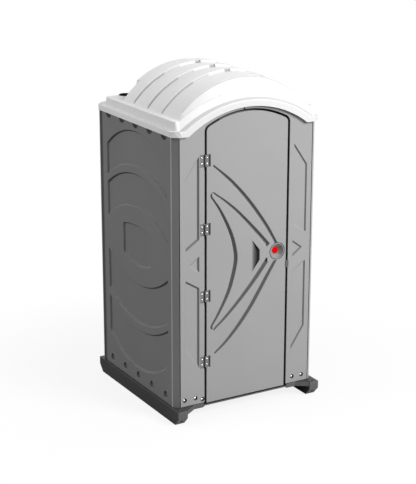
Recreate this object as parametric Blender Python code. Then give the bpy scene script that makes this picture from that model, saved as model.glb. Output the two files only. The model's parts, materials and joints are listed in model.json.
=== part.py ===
"""Dry toilet: a portable cabin on two skids, built as separate pieces with working joints.

Run with Blender 4.5: blender --background --python part.py
Metres, +Z up. The door faces -Y and +X is to the right of someone who faces the door. The origin is
on the ground, in the middle of the plan.
"""

import math

import bmesh
import bpy
from mathutils import Matrix, Vector

for old in list(bpy.data.objects):
    bpy.data.objects.remove(old, do_unlink=True)

# Clearances and counts
GAP = 0.0003            # between pieces that touch
CUT = 0.010             # how far a cutter runs past a face
ROUND_SIDES = 24
PIN_SIDES = 12
ARC_STEPS = 8
SHARP_ANGLE = math.radians(35)

# Cabin
CABIN_WIDTH = 1.140
CABIN_DEPTH = 1.151
CORNER_CHAMFER = 0.038
SHEET = 0.006           # wall of the formed panels
WALL_HEIGHT = 1.9587    # from the skids to the top of the walls

# Skids
SKID_HEIGHT = 0.110
SKID_WIDTH = 0.078
SIDE_OVERHANG = 0.015   # skids and roof past the side walls
SKID_FRONT_OVERHANG = 0.0695
REAR_OVERHANG = 0.015   # skids and roof past the rear wall
SKID_NOSE = 0.055       # upright part of a skid's end
SKID_RUNOUT = 0.050     # length of the slanted part of a skid's end
TIE_HOLE_RADIUS = 0.010
TIE_HOLE_SETBACK = 0.031

# Crossmembers and floor
FRONT_BEAM_LEAD = 0.0075    # past the front wall
FRONT_BEAM_DEPTH = 0.063
REAR_BEAM_DEPTH = 0.070
BEAM_HEIGHT = 0.032
BEAM_DOOR_DROP = 0.013
BEAM_DOOR_MARGIN = 0.014    # lowered part past the door gap
BRACE_REACH = 0.085
BRACE_LEAD = 0.057
FLOOR_SHEET = 0.012
FLOOR_EDGE = 0.002          # gap between the floor and the walls
FLOOR_CORNER = 0.050
FLOOR_FRONT = 0.045         # floor's front edge behind the front wall
TREAD_COUNT = 9
TREAD_PITCH = 0.050
TREAD_WIDTH = 0.012
TREAD_HEIGHT = 0.002
TREAD_HALF_LENGTH = 0.300
TREAD_FRONT = 0.090

# Corner posts
POST_LAND = 0.0135      # post's flat on the side, next to the chamfer
POST_FACE = 0.003       # post's flat on the front
POST_LAP = 0.026        # flange behind a panel
POST_LAP_SHEET = 0.006
REAR_SEAM = 0.035       # flange left in view at the rear of each side
POST_DROP = 0.002       # posts stop below the walls' top

# Wall panels
FIELD_DEPTH = 0.013
FIELD_SLOPE = 0.018
FIELD_MARGIN = 0.001
FIELD_LEFT_SHARE = -0.418
FIELD_RIGHT_SHARE = 0.368
RAIL_SHEET = 0.014
RAIL_HEIGHT = 0.095
RAIL_END = 0.006
TOP_RAIL_HEIGHT = 0.075
DIMPLE_COUNT = 5
DIMPLE_PITCH = 0.2063
DIMPLE_SHIFT = -0.0225
DIMPLE_HEIGHT = 0.057
TOP_DIMPLE_DROP = 0.0287
DIMPLE_RADIUS = 0.024
DIMPLE_TALL_SHARE = 1.18
DIMPLE_DEPTH = 0.009

# Front panels and door opening
OPENING_X = 0.003       # middle of the door
GAP_HALF = 0.331        # middle of the gap round the door
GAP_BELOW_HEADER = 0.073    # between the arches of the gap and of the panels' top
GAP_ARCH = 0.657
GAP_FILLET = 0.045
GAP_SIDE = 0.005        # from the middle of the gap to the door, and to the frame
FRONT_SEAM_X = -0.027
HEADER_RISE = 0.1723
HEADER_DROP = 0.003     # the header's flat ends below the walls' top
HEADER_INSET = 0.070    # the arch's foot from the side wall
JAMB_SHEET = 0.006
JAMB_DEPTH = 0.040
STOP_WIDTH = 0.033
STOP_SHEET = 0.008
FRONT_FIELD_DEPTH = 0.010
FRONT_FIELD_SLOPE = 0.008
FRONT_FIELD_CLEARANCE = 0.0055    # from the hinge pockets
FRONT_RAIL_HEIGHT = 0.085
NOTCH_HALF = 0.006
NOTCH_REACH = 0.025     # above the gap's crown
FRONT_BOLT_HEIGHT = 0.046
INNER_BOLT_HEIGHT = 0.027
LEFT_POST_BOLT_SHARE = 0.9552     # bolts: shares of the width from the gap to the post's flange
LEFT_GAP_BOLT_SHARE = 0.4543
INNER_BOLT_SHARE = 0.1281
RIGHT_GAP_BOLT_SHARE = 0.3844
RIGHT_POST_BOLT_SHARE = 0.8561
BOLT_DISH_RADIUS = 0.0155
BOLT_DISH_DEPTH = 0.004
BOLT_HEAD_RADIUS = 0.011
BOLT_HEAD_HEIGHT = 0.006
BOLT_RADIUS = 0.004

# Door
DOOR_THICK = 0.030
DOOR_SKIN = 0.007
DOOR_DROP = 0.0075      # door's lower edge below the panels' lower edge
DOOR_RIM = 0.030
DOOR_RIB = 0.020
LOCK_BLOCK_LEFT = 0.022
LOCK_BLOCK_LOW = 0.860
LOCK_BLOCK_HIGH = 1.180
GROOVE_WIDTH = 0.034
GROOVE_DEPTH = 0.014
GROOVE_WALL = 0.008
GROOVE_BACK = 0.006
GROOVE_STEPS = 10
HANDLE_DEPTH = 0.020
HANDLE_LIP = 0.001
HANDLE_DRAFT = 0.002
LUG_HALF_HEIGHT = 0.035
LUG_HEIGHT = 0.917
LUG_LAP = 0.011
LUG_REACH = 0.016
LUG_THICK = 0.007
LUG_CORNER = 0.008

# Hinges
HINGE_HEIGHTS = (0.302, 0.783, 1.2625, 1.742)
HINGE_OUT = 0.0045      # hinge axis from the middle of the gap
HINGE_HALF = 0.040
HINGE_LEAF = 0.0025
HINGE_KNUCKLE = 0.005
HINGE_MIDDLE_HALF = 0.016
HINGE_PIN_RADIUS = 0.0022
HINGE_PIN_CLEARANCE = 0.0003
HINGE_POCKET = 0.008
HINGE_POCKET_MARGIN = 0.003
HINGE_POCKET_SLOPE = 0.012
FRAME_LEAF_REACH = 0.036
DOOR_LEAF_REACH = 0.032
RIVET_INSET = 0.0185
RIVET_SPREAD = 0.020
RIVET_HEAD_RADIUS = 0.006
RIVET_HEAD_HEIGHT = 0.002
RIVET_RADIUS = 0.0022
RIVET_LENGTH = 0.009
HINGE_BLOCK = 0.019

# Lock
LOCK_SETBACK = 0.082    # lock from the middle of the gap
LOCK_HEIGHT = 1.022
LOCK_HOLE_RADIUS = 0.0625
LOCK_RIM_RADIUS = 0.061
LOCK_STEP_RADIUS = 0.053
LOCK_LEDGE_RADIUS = 0.046
LOCK_STEP_DEPTH = 0.012
LOCK_THROAT_RADIUS = 0.023
LOCK_THROAT_DEPTH = 0.0375
LOCK_FLOOR_DEPTH = 0.0410
LOCK_WALL = 0.0025
LOCK_SEAT_DEPTH = 0.020     # step in the door's hole that carries the bowl
LOCK_BODY_RADIUS = 0.050
DISC_RADIUS = 0.0222
DISC_THICK = 0.003
SPINDLE_RADIUS = 0.006
TONGUE_LENGTH = 0.075
TONGUE_WIDTH = 0.020
TONGUE_THICK = 0.004
TONGUE_GAP = 0.0006
KEEPER_THICK = 0.004
KEEPER_WIDTH = 0.028
KEEPER_HALF_HEIGHT = 0.040
KEEPER_SETBACK = 0.002
KNOB_RADIUS = 0.026
KNOB_THICK = 0.016
KNOB_GRIP = 0.012
KNOB_GRIP_THICK = 0.008

# Roof: each band's flat part, the rise of its arch, and the arch's foot from the side wall
ROOF_SHEET = 0.006
ROOF_FRONT_OVERHANG = 0.0245
FASCIA_LAP = 0.0337     # over the walls' top
FASCIA_HEIGHT = 0.040
FASCIA_LOW_RISE = 0.158
FASCIA_LOW_INSET = 0.1004
FASCIA_RISE = 0.1615
FASCIA_INSET = 0.075
LEDGE_WIDTH = 0.025
LEDGE_RISE = 0.177
LEDGE_INSET = 0.0414
BAND_HEIGHT = 0.062
BAND_DRAFT = 0.004
BAND_FRONT_DRAFT = 0.018
BAND_RISE = 0.165
BAND_INSET = 0.051
SHOULDER_WIDTH = 0.010
VAULT_RISE = 0.249
VAULT_INSET = 0.055
VAULT_COLUMNS = 9       # between the crown and the foot
VAULT_SHOULDER_COLUMN = 5
VAULT_FRONT = 0.0655    # crease behind the front wall
VAULT_PITCH = 0.2025
RIB_COUNT = 3
RIB_HEIGHT = 0.016
RIB_RISE = 0.003
VAULT_FLANK_BACK = 0.050
VAULT_TAIL = 0.020
FASCIA_CORNER = 0.045
LEDGE_CORNER = 0.036
SLOT_HALF = 0.0225
SLOT_HEIGHT = 0.011
SLOT_DEPTH = 0.012

# Vent pipe
PIPE_INSET = 0.140      # pipe's axis from the side wall's face
PIPE_BACK = 0.1855      # pipe's axis in front of the rear wall's face
PIPE_RADIUS = 0.047
PIPE_SHEET = 0.003
PIPE_RISE = 0.016       # above the roof's deck
COLLAR_FOOT = 0.075
COLLAR_HEAD = 0.057
COLLAR_HEIGHT = 0.012

# Waste tank
TANK_SIDE_GAP = 0.065    # from the side wall's face
TANK_DEPTH = 0.5515
TANK_REAR_GAP = 0.024   # tank's back in front of the rear wall's face
TANK_HEIGHT = 0.460
TANK_SHEET = 0.006
TANK_CORNER = 0.040
SEAT_OPENING_HALF = 0.130
SEAT_OPENING_LENGTH = 0.300
SEAT_OPENING_SETBACK = 0.080

# Seat and lid
SEAT_HALF_WIDTH = 0.185
SEAT_LENGTH = 0.410
SEAT_SETBACK = 0.035
SEAT_CORNER = 0.050
SEAT_THICK = 0.018
LID_THICK = 0.012
LID_GAP = 0.0005
LID_OPEN = math.radians(95)
SEAT_PIN_RADIUS = 0.005
SEAT_PIN_CLEARANCE = 0.0003
SEAT_PIN_RISE = 0.021
SEAT_PIN_BEHIND = 0.020
SEAT_EYE = 0.011
LUG_WIDTH = 0.016
LUG_SPACING = 0.0005
BRACKET_X = 0.062

# Urinal
URINAL_HALF_WIDTH = 0.120
URINAL_REACH = 0.170
URINAL_HEIGHT = 0.330
URINAL_LOW = 0.640
URINAL_TOP_BACK = 0.110
URINAL_SHEET = 0.006
URINAL_BACK = 0.355     # middle of the urinal in front of the rear wall's face
DRAIN_RADIUS = 0.016
DRAIN_SHEET = 0.0025
DRAIN_OUT = 0.070       # drain's axis from the side wall's inner face

# Paper holder
PAPER_BACK = 0.560      # roll's middle in front of the rear wall's face
PAPER_HEIGHT = 0.780
PAPER_RADIUS = 0.052
PAPER_LENGTH = 0.100
PAPER_CORE = 0.020
PAPER_CORE_SHEET = 0.0015
HOLDER_SHEET = 0.004
HOLDER_REACH = 0.085
HOLDER_HALF_HEIGHT = 0.030
HOLDER_ARM_GAP = 0.004
SPINDLE_OUT = 0.060
PAPER_SPINDLE_RADIUS = 0.008
PAPER_SPINDLE_HEAD = 0.012
PAPER_SPINDLE_HEAD_THICK = 0.004

# Sunk fields of a side or rear panel: an upper and a lower edge, each an arc through three points.
# Sideways shares are of the wall's width from its middle, upward shares of the wall's height.
WALL_FIELD_SHARES = (
    ((0.868, 0.953, 0.8665), (0.7535, 0.824, 0.7475)),
    ((0.727, 0.7975, 0.721), (0.594, 0.673, 0.592)),
    ((0.469, 0.388, 0.469), (0.308, 0.237, 0.310)),
    ((0.282, 0.2115, 0.2845), (0.146, 0.0567, 0.137)),
)
FIELD_PEAK_SHARE = -0.040
EYE_FIELD_SHARES = (
    ((-0.199, 0.596), (-0.027, 0.608), (0.160, 0.594)),
    ((-0.199, 0.478), (-0.033, 0.456), (0.160, 0.480)),
)

# Sunk fields of a front panel: sideways shares of the width between the hinge pockets and the post's
# flange, upward shares of the wall's height.
FRONT_FIELD_SHARES = (
    ((0, 0.9134), (0.9142, 0.8286), (0.9142, 0.5744), (0, 0.6116)),
    ((0, 0.5545), (0.6856, 0.5218), (0, 0.4896)),
    ((0, 0.4365), (0.9142, 0.4723), (0.9142, 0.2170), (0, 0.1307)),
)

# Door grooves: three points, then the width at each as a share of the full width. Sideways shares are
# of the door gap's half width from the door's middle, upward shares of the gap's crown.
LONG_GROOVE_SHARES = (
    (((-0.818, 0.827), (-0.075, 0.711), (0.728, 0.526)), (0.35, 1.0, 0.6)),
    (((-0.862, 0.721), (-0.271, 0.497), (-0.862, 0.2715)), (0.3, 1.0, 0.3)),
    (((-0.776, 0.1726), (0.0665, 0.308), (0.728, 0.469)), (0.4, 0.9, 0.5)),
)
SHORT_GROOVE_SHARES = (
    (((-0.783, 0.731), (0.019, 0.616), (0.508, 0.513)), (0.35, 0.8, 1.0)),
    (((-0.776, 0.261), (0.019, 0.379), (0.508, 0.475)), (0.35, 0.8, 1.0)),
)
HANDLE_SHARES = ((0.124, 0.552), (0.318, 0.5135), (0.318, 0.477), (0.124, 0.4375))

# Positions worked out from the sizes above
BASE_Z = SKID_HEIGHT + GAP
SHIFT_Y = (SKID_FRONT_OVERHANG - REAR_OVERHANG) / 2
FRONT_Y = SHIFT_Y - CABIN_DEPTH / 2
REAR_Y = SHIFT_Y + CABIN_DEPTH / 2
SIDE_X = CABIN_WIDTH / 2
LAP_FACE = SHEET + GAP
LAP_BACK = LAP_FACE + POST_LAP_SHEET
SIDE_START = CORNER_CHAMFER + POST_LAND
FACE_START = CORNER_CHAMFER + POST_FACE
FIELD_BACK = FIELD_DEPTH + SHEET
DOOR_BACK = DOOR_THICK
FLOOR_TOP = FLOOR_SHEET + TREAD_HEIGHT + GAP
PANEL_OUTER = SIDE_X - FACE_START - GAP
HINGE_X = OPENING_X - GAP_HALF - HINGE_OUT
POCKET_LEFT = HINGE_X - FRAME_LEAF_REACH - HINGE_POCKET_MARGIN
FRONT_FIELD_INNER = FRONT_FIELD_CLEARANCE - POCKET_LEFT
LOCK_X = OPENING_X + GAP_HALF - LOCK_SETBACK
PIPE_X = PIPE_INSET - SIDE_X
HEADER_FLAT = WALL_HEIGHT - HEADER_DROP
HEADER_CROWN = HEADER_FLAT + HEADER_RISE
HEADER_HALF_SPAN = SIDE_X - HEADER_INSET
GAP_CROWN = HEADER_CROWN - GAP_BELOW_HEADER
FASCIA_LOW = WALL_HEIGHT - FASCIA_LAP
LEDGE_HEIGHT = FASCIA_LOW + FASCIA_HEIGHT
DECK_HEIGHT = LEDGE_HEIGHT + BAND_HEIGHT
VAULT_CROWN = DECK_HEIGHT + VAULT_RISE
VAULT_SPAN = SIDE_X - VAULT_INSET

# Materials


def plastic(name, colour, roughness):
    made = bpy.data.materials.new(name)
    made.use_nodes = True
    shader = made.node_tree.nodes["Principled BSDF"]
    shader.inputs["Base Color"].default_value = (*colour, 1)
    shader.inputs["Roughness"].default_value = roughness
    return made


def metal(name, colour, roughness):
    made = plastic(name, colour, roughness)
    made.node_tree.nodes["Principled BSDF"].inputs["Metallic"].default_value = 1
    return made


SIDE_GREY = plastic("side_grey", (0.20, 0.20, 0.20), 0.5)
FRONT_GREY = plastic("front_grey", (0.40, 0.40, 0.40), 0.5)
ROOF_WHITE = plastic("roof_white", (0.85, 0.85, 0.85), 0.45)
BASE_BLACK = plastic("base_black", (0.03, 0.03, 0.03), 0.6)
SIGNAL_RED = plastic("signal_red", (0.80, 0.01, 0.01), 0.4)
INNER_GREY = plastic("inner_grey", (0.20, 0.21, 0.22), 0.5)
PAPER_WHITE = plastic("paper_white", (0.80, 0.80, 0.78), 0.9)
STEEL = metal("steel", (0.60, 0.60, 0.60), 0.35)

# Building blocks


def arc(centre, radius, start, end, steps):
    """Points of an arc from one angle to another, both ends included."""
    angles = [start + (end - start) * i / steps for i in range(steps + 1)]
    return [(centre[0] + radius * math.cos(a), centre[1] + radius * math.sin(a)) for a in angles]


def arc_through(first, middle, last, steps):
    """Points of the arc that runs from first to last through middle."""
    (ax, ay), (bx, by), (cx, cy) = first, middle, last
    scale = 2 * (ax * (by - cy) + bx * (cy - ay) + cx * (ay - by))
    a2, b2, c2 = ax * ax + ay * ay, bx * bx + by * by, cx * cx + cy * cy
    ux = (a2 * (by - cy) + b2 * (cy - ay) + c2 * (ay - by)) / scale
    uy = (a2 * (cx - bx) + b2 * (ax - cx) + c2 * (bx - ax)) / scale
    start = math.atan2(ay - uy, ax - ux)
    through = math.remainder(math.atan2(by - uy, bx - ux) - start, math.tau)
    sweep = math.remainder(math.atan2(cy - uy, cx - ux) - start, math.tau)
    if sweep * through < 0:
        sweep += math.copysign(math.tau, through)
    return arc((ux, uy), math.hypot(ax - ux, ay - uy), start, start + sweep, steps)


def bulge(x, crown, half_span, flat):
    """Height at x of an arch that rises from a flat level to a crown."""
    if abs(x) >= half_span:
        return flat
    rise = crown - flat
    radius = (half_span ** 2 + rise ** 2) / (2 * rise)
    return crown - radius + math.sqrt(radius ** 2 - x ** 2)


def inset(outline, distance):
    """The closed outline moved inwards; a negative distance moves it outwards."""
    count = len(outline)
    doubled = sum(outline[i - 1][0] * outline[i][1] - outline[i][0] * outline[i - 1][1] for i in range(count))
    turn = math.copysign(distance, doubled)
    moved = []
    for i in range(count):
        before = Vector(outline[i]) - Vector(outline[i - 1])
        after = Vector(outline[(i + 1) % count]) - Vector(outline[i])
        left = Vector((-before.y, before.x)).normalized()
        right = Vector((-after.y, after.x)).normalized()
        miter = (left + right) / (1 + left.dot(right))
        moved.append(tuple(Vector(outline[i]) + miter * turn))
    return moved


def add_stack(mesh, rings):
    """Close a stack of equal rings of points into one solid."""
    layers = [[mesh.verts.new(point) for point in ring] for ring in rings]
    for low, high in zip(layers, layers[1:]):
        for i in range(len(low)):
            j = (i + 1) % len(low)
            mesh.faces.new((low[i], low[j], high[j], high[i]))
    mesh.faces.new(layers[0][::-1])
    mesh.faces.new(layers[-1])


def add_box(mesh, low, high):
    (x0, y0, z0), (x1, y1, z1) = low, high
    corners = [(x0, y0), (x1, y0), (x1, y1), (x0, y1)]
    add_stack(mesh, [[(x, y, z) for x, y in corners] for z in (z0, z1)])


def add_upright(mesh, outline, low, high):
    """A plan outline of (x, y) points, raised from one height to another."""
    add_stack(mesh, [[(x, y, z) for x, y in outline] for z in (low, high)])


def add_along_x(mesh, outline, low, high):
    """An outline of (y, z) points, drawn out along X."""
    add_stack(mesh, [[(x, y, z) for y, z in outline] for x in (low, high)])


def add_along_y(mesh, outline, low, high):
    """An outline of (x, z) points, drawn out along Y."""
    add_stack(mesh, [[(x, y, z) for x, z in outline] for y in (low, high)])


def add_turned(mesh, profile, centre, axis, sides):
    """Turn a profile of (radius, distance along the axis) points; a zero radius closes an end."""
    tilt = Vector(axis).to_track_quat("Z", "Y")
    rings = []
    for radius, along in profile:
        count = sides if radius else 1
        angles = [math.tau * i / sides for i in range(count)]
        points = [Vector((radius * math.cos(a), radius * math.sin(a), along)) for a in angles]
        rings.append([mesh.verts.new(Vector(centre) + tilt @ point) for point in points])
    pairs = list(zip(rings, rings[1:]))
    if profile[0][0] and profile[-1][0]:
        pairs.append((rings[-1], rings[0]))
    for low, high in pairs:
        for i in range(sides):
            j = (i + 1) % sides
            corners = [low[i % len(low)], low[j % len(low)], high[j % len(high)], high[i % len(high)]]
            mesh.faces.new(list(dict.fromkeys(corners)))


def add_rod(mesh, centre, axis, radius, low, high, sides):
    add_turned(mesh, [(0, low), (radius, low), (radius, high), (0, high)], centre, axis, sides)


def add_tube(mesh, centre, axis, inner, outer, low, high, sides):
    add_turned(mesh, [(inner, low), (outer, low), (outer, high), (inner, high)], centre, axis, sides)


def store(name, mesh, shade_round=False):
    bmesh.ops.recalc_face_normals(mesh, faces=mesh.faces)
    data = bpy.data.meshes.new(name)
    mesh.to_mesh(data)
    mesh.free()
    if shade_round:
        data.shade_smooth()
        data.set_sharp_from_angle(angle=SHARP_ANGLE)
    made = bpy.data.objects.new(name, data)
    bpy.context.scene.collection.objects.link(made)
    return made


def pivot(name, place, parent=None):
    """An empty on a joint's axis; the moving pieces hang on it."""
    made = bpy.data.objects.new(name, None)
    made["place"] = place
    made.location = Vector(place) - Vector(parent["place"] if parent else (0, 0, 0))
    made.parent = parent
    bpy.context.scene.collection.objects.link(made)
    return made


def piece(name, mesh, material, parent=None, shade_round=False):
    """Turn a mesh in world coordinates into a named piece, on its pivot if it has one."""
    if parent:
        bmesh.ops.translate(mesh, verts=mesh.verts, vec=-Vector(parent["place"]))
    made = store(name, mesh, shade_round)
    made.data.materials.append(material)
    made.parent = parent
    return made


def shape(target, mesh, operation):
    """Join a mesh to a piece, or cut it out of the piece."""
    tool = store(target.name + "_" + operation.lower(), mesh)
    tool.hide_render = True
    tool.display_type = "WIRE"
    step = target.modifiers.new(operation.title(), "BOOLEAN")
    step.operation = operation
    step.solver = "EXACT"
    step.object = tool


def join(target, mesh):
    shape(target, mesh, "UNION")


def cut(target, mesh):
    shape(target, mesh, "DIFFERENCE")


# Door opening


def opening_path(offset, side, end_x):
    """Half of the door's outline, from its foot to end_x, moved outwards from the middle of the gap."""
    arch_centre = (OPENING_X, GAP_CROWN - GAP_ARCH)
    fillet_x = GAP_HALF - GAP_FILLET
    fillet_rise = math.sqrt((GAP_ARCH - GAP_FILLET) ** 2 - fillet_x ** 2)
    meet = math.atan2(fillet_rise, fillet_x)
    end = math.acos(side * (end_x - OPENING_X) / (GAP_ARCH + offset))
    fillet = arc((0, 0), GAP_FILLET + offset, 0, meet, ARC_STEPS // 2)
    arch = arc((0, 0), GAP_ARCH + offset, meet, end, ARC_STEPS)
    path = [(OPENING_X + side * (fillet_x + u), arch_centre[1] + fillet_rise + v) for u, v in fillet]
    path += [(OPENING_X + side * u, arch_centre[1] + v) for u, v in arch[1:]]
    return [(path[0][0], 0)] + path


def opening_outline(offset, foot):
    """The whole door outline down to a foot height."""
    left = opening_path(offset, -1, OPENING_X)
    right = opening_path(offset, 1, OPENING_X)
    outline = left[1:] + right[1:-1][::-1]
    return [(left[0][0], foot)] + outline + [(right[0][0], foot)]


def raised(outline):
    """An outline of (x, height above the skids) points in world heights."""
    return [(x, BASE_Z + height) for x, height in outline]


def add_front_slab(mesh, outline, front, back):
    """An outline on the front wall, between two depths behind the front face."""
    add_along_y(mesh, raised(outline), FRONT_Y + front, FRONT_Y + back)


# Skids


def make_skid(name, side):
    outer = SIDE_X + SIDE_OVERHANG
    front = FRONT_Y - SKID_FRONT_OVERHANG
    rear = REAR_Y + REAR_OVERHANG
    low_nose = SKID_HEIGHT - SKID_NOSE
    outline = [(front, low_nose), (front + SKID_RUNOUT, 0), (rear - SKID_RUNOUT, 0), (rear, low_nose),
               (rear, SKID_HEIGHT), (front, SKID_HEIGHT)]
    mesh = bmesh.new()
    add_along_x(mesh, outline, side * (outer - SKID_WIDTH), side * outer)
    skid = piece(name, mesh, BASE_BLACK)
    holes = bmesh.new()
    hole_x = side * (outer - SKID_WIDTH / 2)
    hole_y = front + TIE_HOLE_SETBACK
    add_rod(holes, (hole_x, hole_y, 0), (0, 0, 1), TIE_HOLE_RADIUS, -CUT, SKID_HEIGHT + CUT, PIN_SIDES)
    cut(skid, holes)


def make_beams():
    half = SIDE_X + SIDE_OVERHANG - SKID_WIDTH - GAP
    top = SKID_HEIGHT
    low = top - BEAM_HEIGHT
    door = top - BEAM_DOOR_DROP
    door_half = GAP_HALF + BEAM_DOOR_MARGIN
    outline = [(-half, low), (half, low), (half, top), (door_half, top), (door_half, door),
               (-door_half, door), (-door_half, top), (-half, top)]
    start = FRONT_Y - FRONT_BEAM_LEAD
    mesh = bmesh.new()
    add_along_y(mesh, outline, start, start + FRONT_BEAM_DEPTH)
    beam = piece("front_crossmember", mesh, BASE_BLACK)
    braces = bmesh.new()
    for side in (-1, 1):
        plan = [(side * half, start - BRACE_LEAD), (side * half, start + CUT),
                (side * (half - BRACE_REACH), start + CUT), (side * (half - BRACE_REACH), start)]
        add_upright(braces, plan, low, top - GAP)
    join(beam, braces)
    mesh = bmesh.new()
    add_box(mesh, (-half, REAR_Y - REAR_BEAM_DEPTH, low), (half, REAR_Y, top))
    piece("rear_crossmember", mesh, BASE_BLACK)


def make_floor():
    inner = RAIL_SHEET + FLOOR_EDGE
    half = SIDE_X - inner
    front = FRONT_Y + FLOOR_FRONT
    rear = REAR_Y - inner
    outline = [(-half, front), (half, front), (half, rear - FLOOR_CORNER), (half - FLOOR_CORNER, rear),
               (FLOOR_CORNER - half, rear), (-half, rear - FLOOR_CORNER)]
    mesh = bmesh.new()
    add_upright(mesh, outline, BASE_Z, BASE_Z + FLOOR_SHEET)
    floor = piece("floor_pan", mesh, BASE_BLACK)
    treads = bmesh.new()
    for i in range(TREAD_COUNT):
        y = FRONT_Y + TREAD_FRONT + TREAD_PITCH * i
        add_box(treads, (-TREAD_HALF_LENGTH, y, BASE_Z + FLOOR_SHEET / 2),
                (TREAD_HALF_LENGTH, y + TREAD_WIDTH, BASE_Z + FLOOR_SHEET + TREAD_HEIGHT))
    join(floor, treads)


# Corner posts


def make_post(name, side, end, side_lap):
    """A post in plan; distances are inwards from the side face and from the front or rear face."""
    slant = CORNER_CHAMFER + POST_LAP_SHEET * math.sqrt(2)
    outline = [(0, SIDE_START), (0, CORNER_CHAMFER), (CORNER_CHAMFER, 0), (FACE_START, 0),
               (FACE_START, LAP_FACE), (FACE_START + POST_LAP, LAP_FACE), (FACE_START + POST_LAP, LAP_BACK),
               (slant - LAP_BACK, LAP_BACK), (LAP_BACK, slant - LAP_BACK), (LAP_BACK, SIDE_START + side_lap),
               (LAP_FACE, SIDE_START + side_lap), (LAP_FACE, SIDE_START)]
    end_y = FRONT_Y if end < 0 else REAR_Y
    plan = [(side * (SIDE_X - a), end_y - end * b) for a, b in outline]
    mesh = bmesh.new()
    add_upright(mesh, plan, BASE_Z, BASE_Z + WALL_HEIGHT - POST_DROP)
    piece(name, mesh, FRONT_GREY)


# Side and rear panels


def wall_fields(wall_width):
    """Outlines of the sunk fields as (sideways, up) points from the middle of the wall's foot."""
    def place(share_pair):
        return share_pair[0] * wall_width, share_pair[1] * WALL_HEIGHT

    fields = []
    sideways = (FIELD_LEFT_SHARE, FIELD_PEAK_SHARE, FIELD_RIGHT_SHARE)
    for upper, lower in WALL_FIELD_SHARES:
        over = arc_through(*[place(pair) for pair in zip(sideways, upper)], ARC_STEPS)
        under = arc_through(*[place(pair) for pair in zip(sideways, lower)], ARC_STEPS)
        fields.append(over + under[::-1])
    upper, lower = EYE_FIELD_SHARES
    over = arc_through(*[place(pair) for pair in upper], ARC_STEPS // 2)
    under = arc_through(*[place(pair) for pair in lower], ARC_STEPS // 2)
    fields.append(over + under[::-1])
    return fields


def add_field(mesh, outline, place, depth, slope):
    """The hollow of a sunk field, with sloped walls."""
    rings = [(outline, -CUT), (outline, 0), (inset(outline, slope), depth)]
    add_stack(mesh, [[place(u, v, d) for u, v in ring] for ring, d in rings])


def add_field_back(mesh, outline, place, depth, slope):
    """The back of a sunk field, which keeps the sheet's thickness behind the hollow."""
    rings = [(inset(outline, -FIELD_MARGIN), SHEET / 2), (inset(outline, slope - SHEET), depth + SHEET)]
    add_stack(mesh, [[place(u, v, d) for u, v in ring] for ring, d in rings])


def make_wall_panel(name, wall_width, place, left, right):
    """A formed panel between two sideways limits; place turns (sideways, up, in) into the world."""
    mesh = bmesh.new()
    corners = [(left, 0), (right, 0), (right, WALL_HEIGHT), (left, WALL_HEIGHT)]
    add_stack(mesh, [[place(u, v, d) for u, v in corners] for d in (0, SHEET)])
    panel = piece(name, mesh, SIDE_GREY)
    backs = bmesh.new()
    hollows = bmesh.new()
    for outline in wall_fields(wall_width):
        add_field_back(backs, outline, place, FIELD_DEPTH, FIELD_SLOPE)
        add_field(hollows, outline, place, FIELD_DEPTH, FIELD_SLOPE)
    rail_left = left + POST_LAP + RAIL_END
    rail_right = right - POST_LAP - RAIL_END
    for low, high in ((0, RAIL_HEIGHT), (WALL_HEIGHT - TOP_RAIL_HEIGHT, WALL_HEIGHT)):
        rail = [(rail_left, low), (rail_right, low), (rail_right, high), (rail_left, high)]
        add_stack(backs, [[place(u, v, d) for u, v in rail] for d in (SHEET / 2, RAIL_SHEET)])
    join(panel, backs)
    first = DIMPLE_SHIFT - DIMPLE_PITCH * (DIMPLE_COUNT - 1) / 2
    for i in range(DIMPLE_COUNT):
        for height in (DIMPLE_HEIGHT, WALL_HEIGHT - TOP_DIMPLE_DROP):
            add_dimple(hollows, place, first + DIMPLE_PITCH * i, height)
    cut(panel, hollows)


def add_dimple(mesh, place, u, v):
    rings = []
    for depth, share in ((-CUT, 1), (0, 1), (DIMPLE_DEPTH, 0.5)):
        points = arc((0, 0), DIMPLE_RADIUS * share, 0, math.tau, PIN_SIDES)[:-1]
        rings.append([place(u + a, v + b * DIMPLE_TALL_SHARE, depth) for a, b in points])
    add_stack(mesh, rings)


def make_walls():
    front = SHIFT_Y
    near = SIDE_START + GAP - CABIN_DEPTH / 2
    far = CABIN_DEPTH / 2 - SIDE_START - REAR_SEAM
    for name, side in (("side_panel_left", -1), ("side_panel_right", 1)):
        make_wall_panel(name, CABIN_DEPTH, lambda u, v, d: (side * (SIDE_X - d), front + u, BASE_Z + v),
                        near, far)
    make_wall_panel("rear_panel", CABIN_WIDTH, lambda u, v, d: (u, REAR_Y - d, BASE_Z + v),
                    -PANEL_OUTER, PANEL_OUTER)


# Front panels


def front_place(u, v, d):
    return u, FRONT_Y + d, BASE_Z + v


def hinge_pocket(mesh, left, right, left_slope, right_slope):
    """Pockets for the four hinges between two sideways limits, cut into the front face."""
    half = HINGE_HALF + HINGE_POCKET_MARGIN
    for height in HINGE_HEIGHTS:
        rings = []
        for depth, slant in ((-CUT, 0), (0, 0), (HINGE_POCKET, 1)):
            a = left + left_slope * slant
            b = right - right_slope * slant
            corners = [(a, height - half), (b, height - half), (b, height + half), (a, height + half)]
            rings.append([front_place(u, v, depth) for u, v in corners])
        add_stack(mesh, rings)


def hinge_holes(mesh, reach, low, high):
    """Rivet holes at a distance from the hinge axis, between two depths."""
    for height in HINGE_HEIGHTS:
        for spread in (-RIVET_SPREAD, RIVET_SPREAD):
            centre = (HINGE_X + reach, FRONT_Y, BASE_Z + height + spread)
            add_rod(mesh, centre, (0, 1, 0), RIVET_RADIUS + GAP, low, high, PIN_SIDES)


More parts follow.
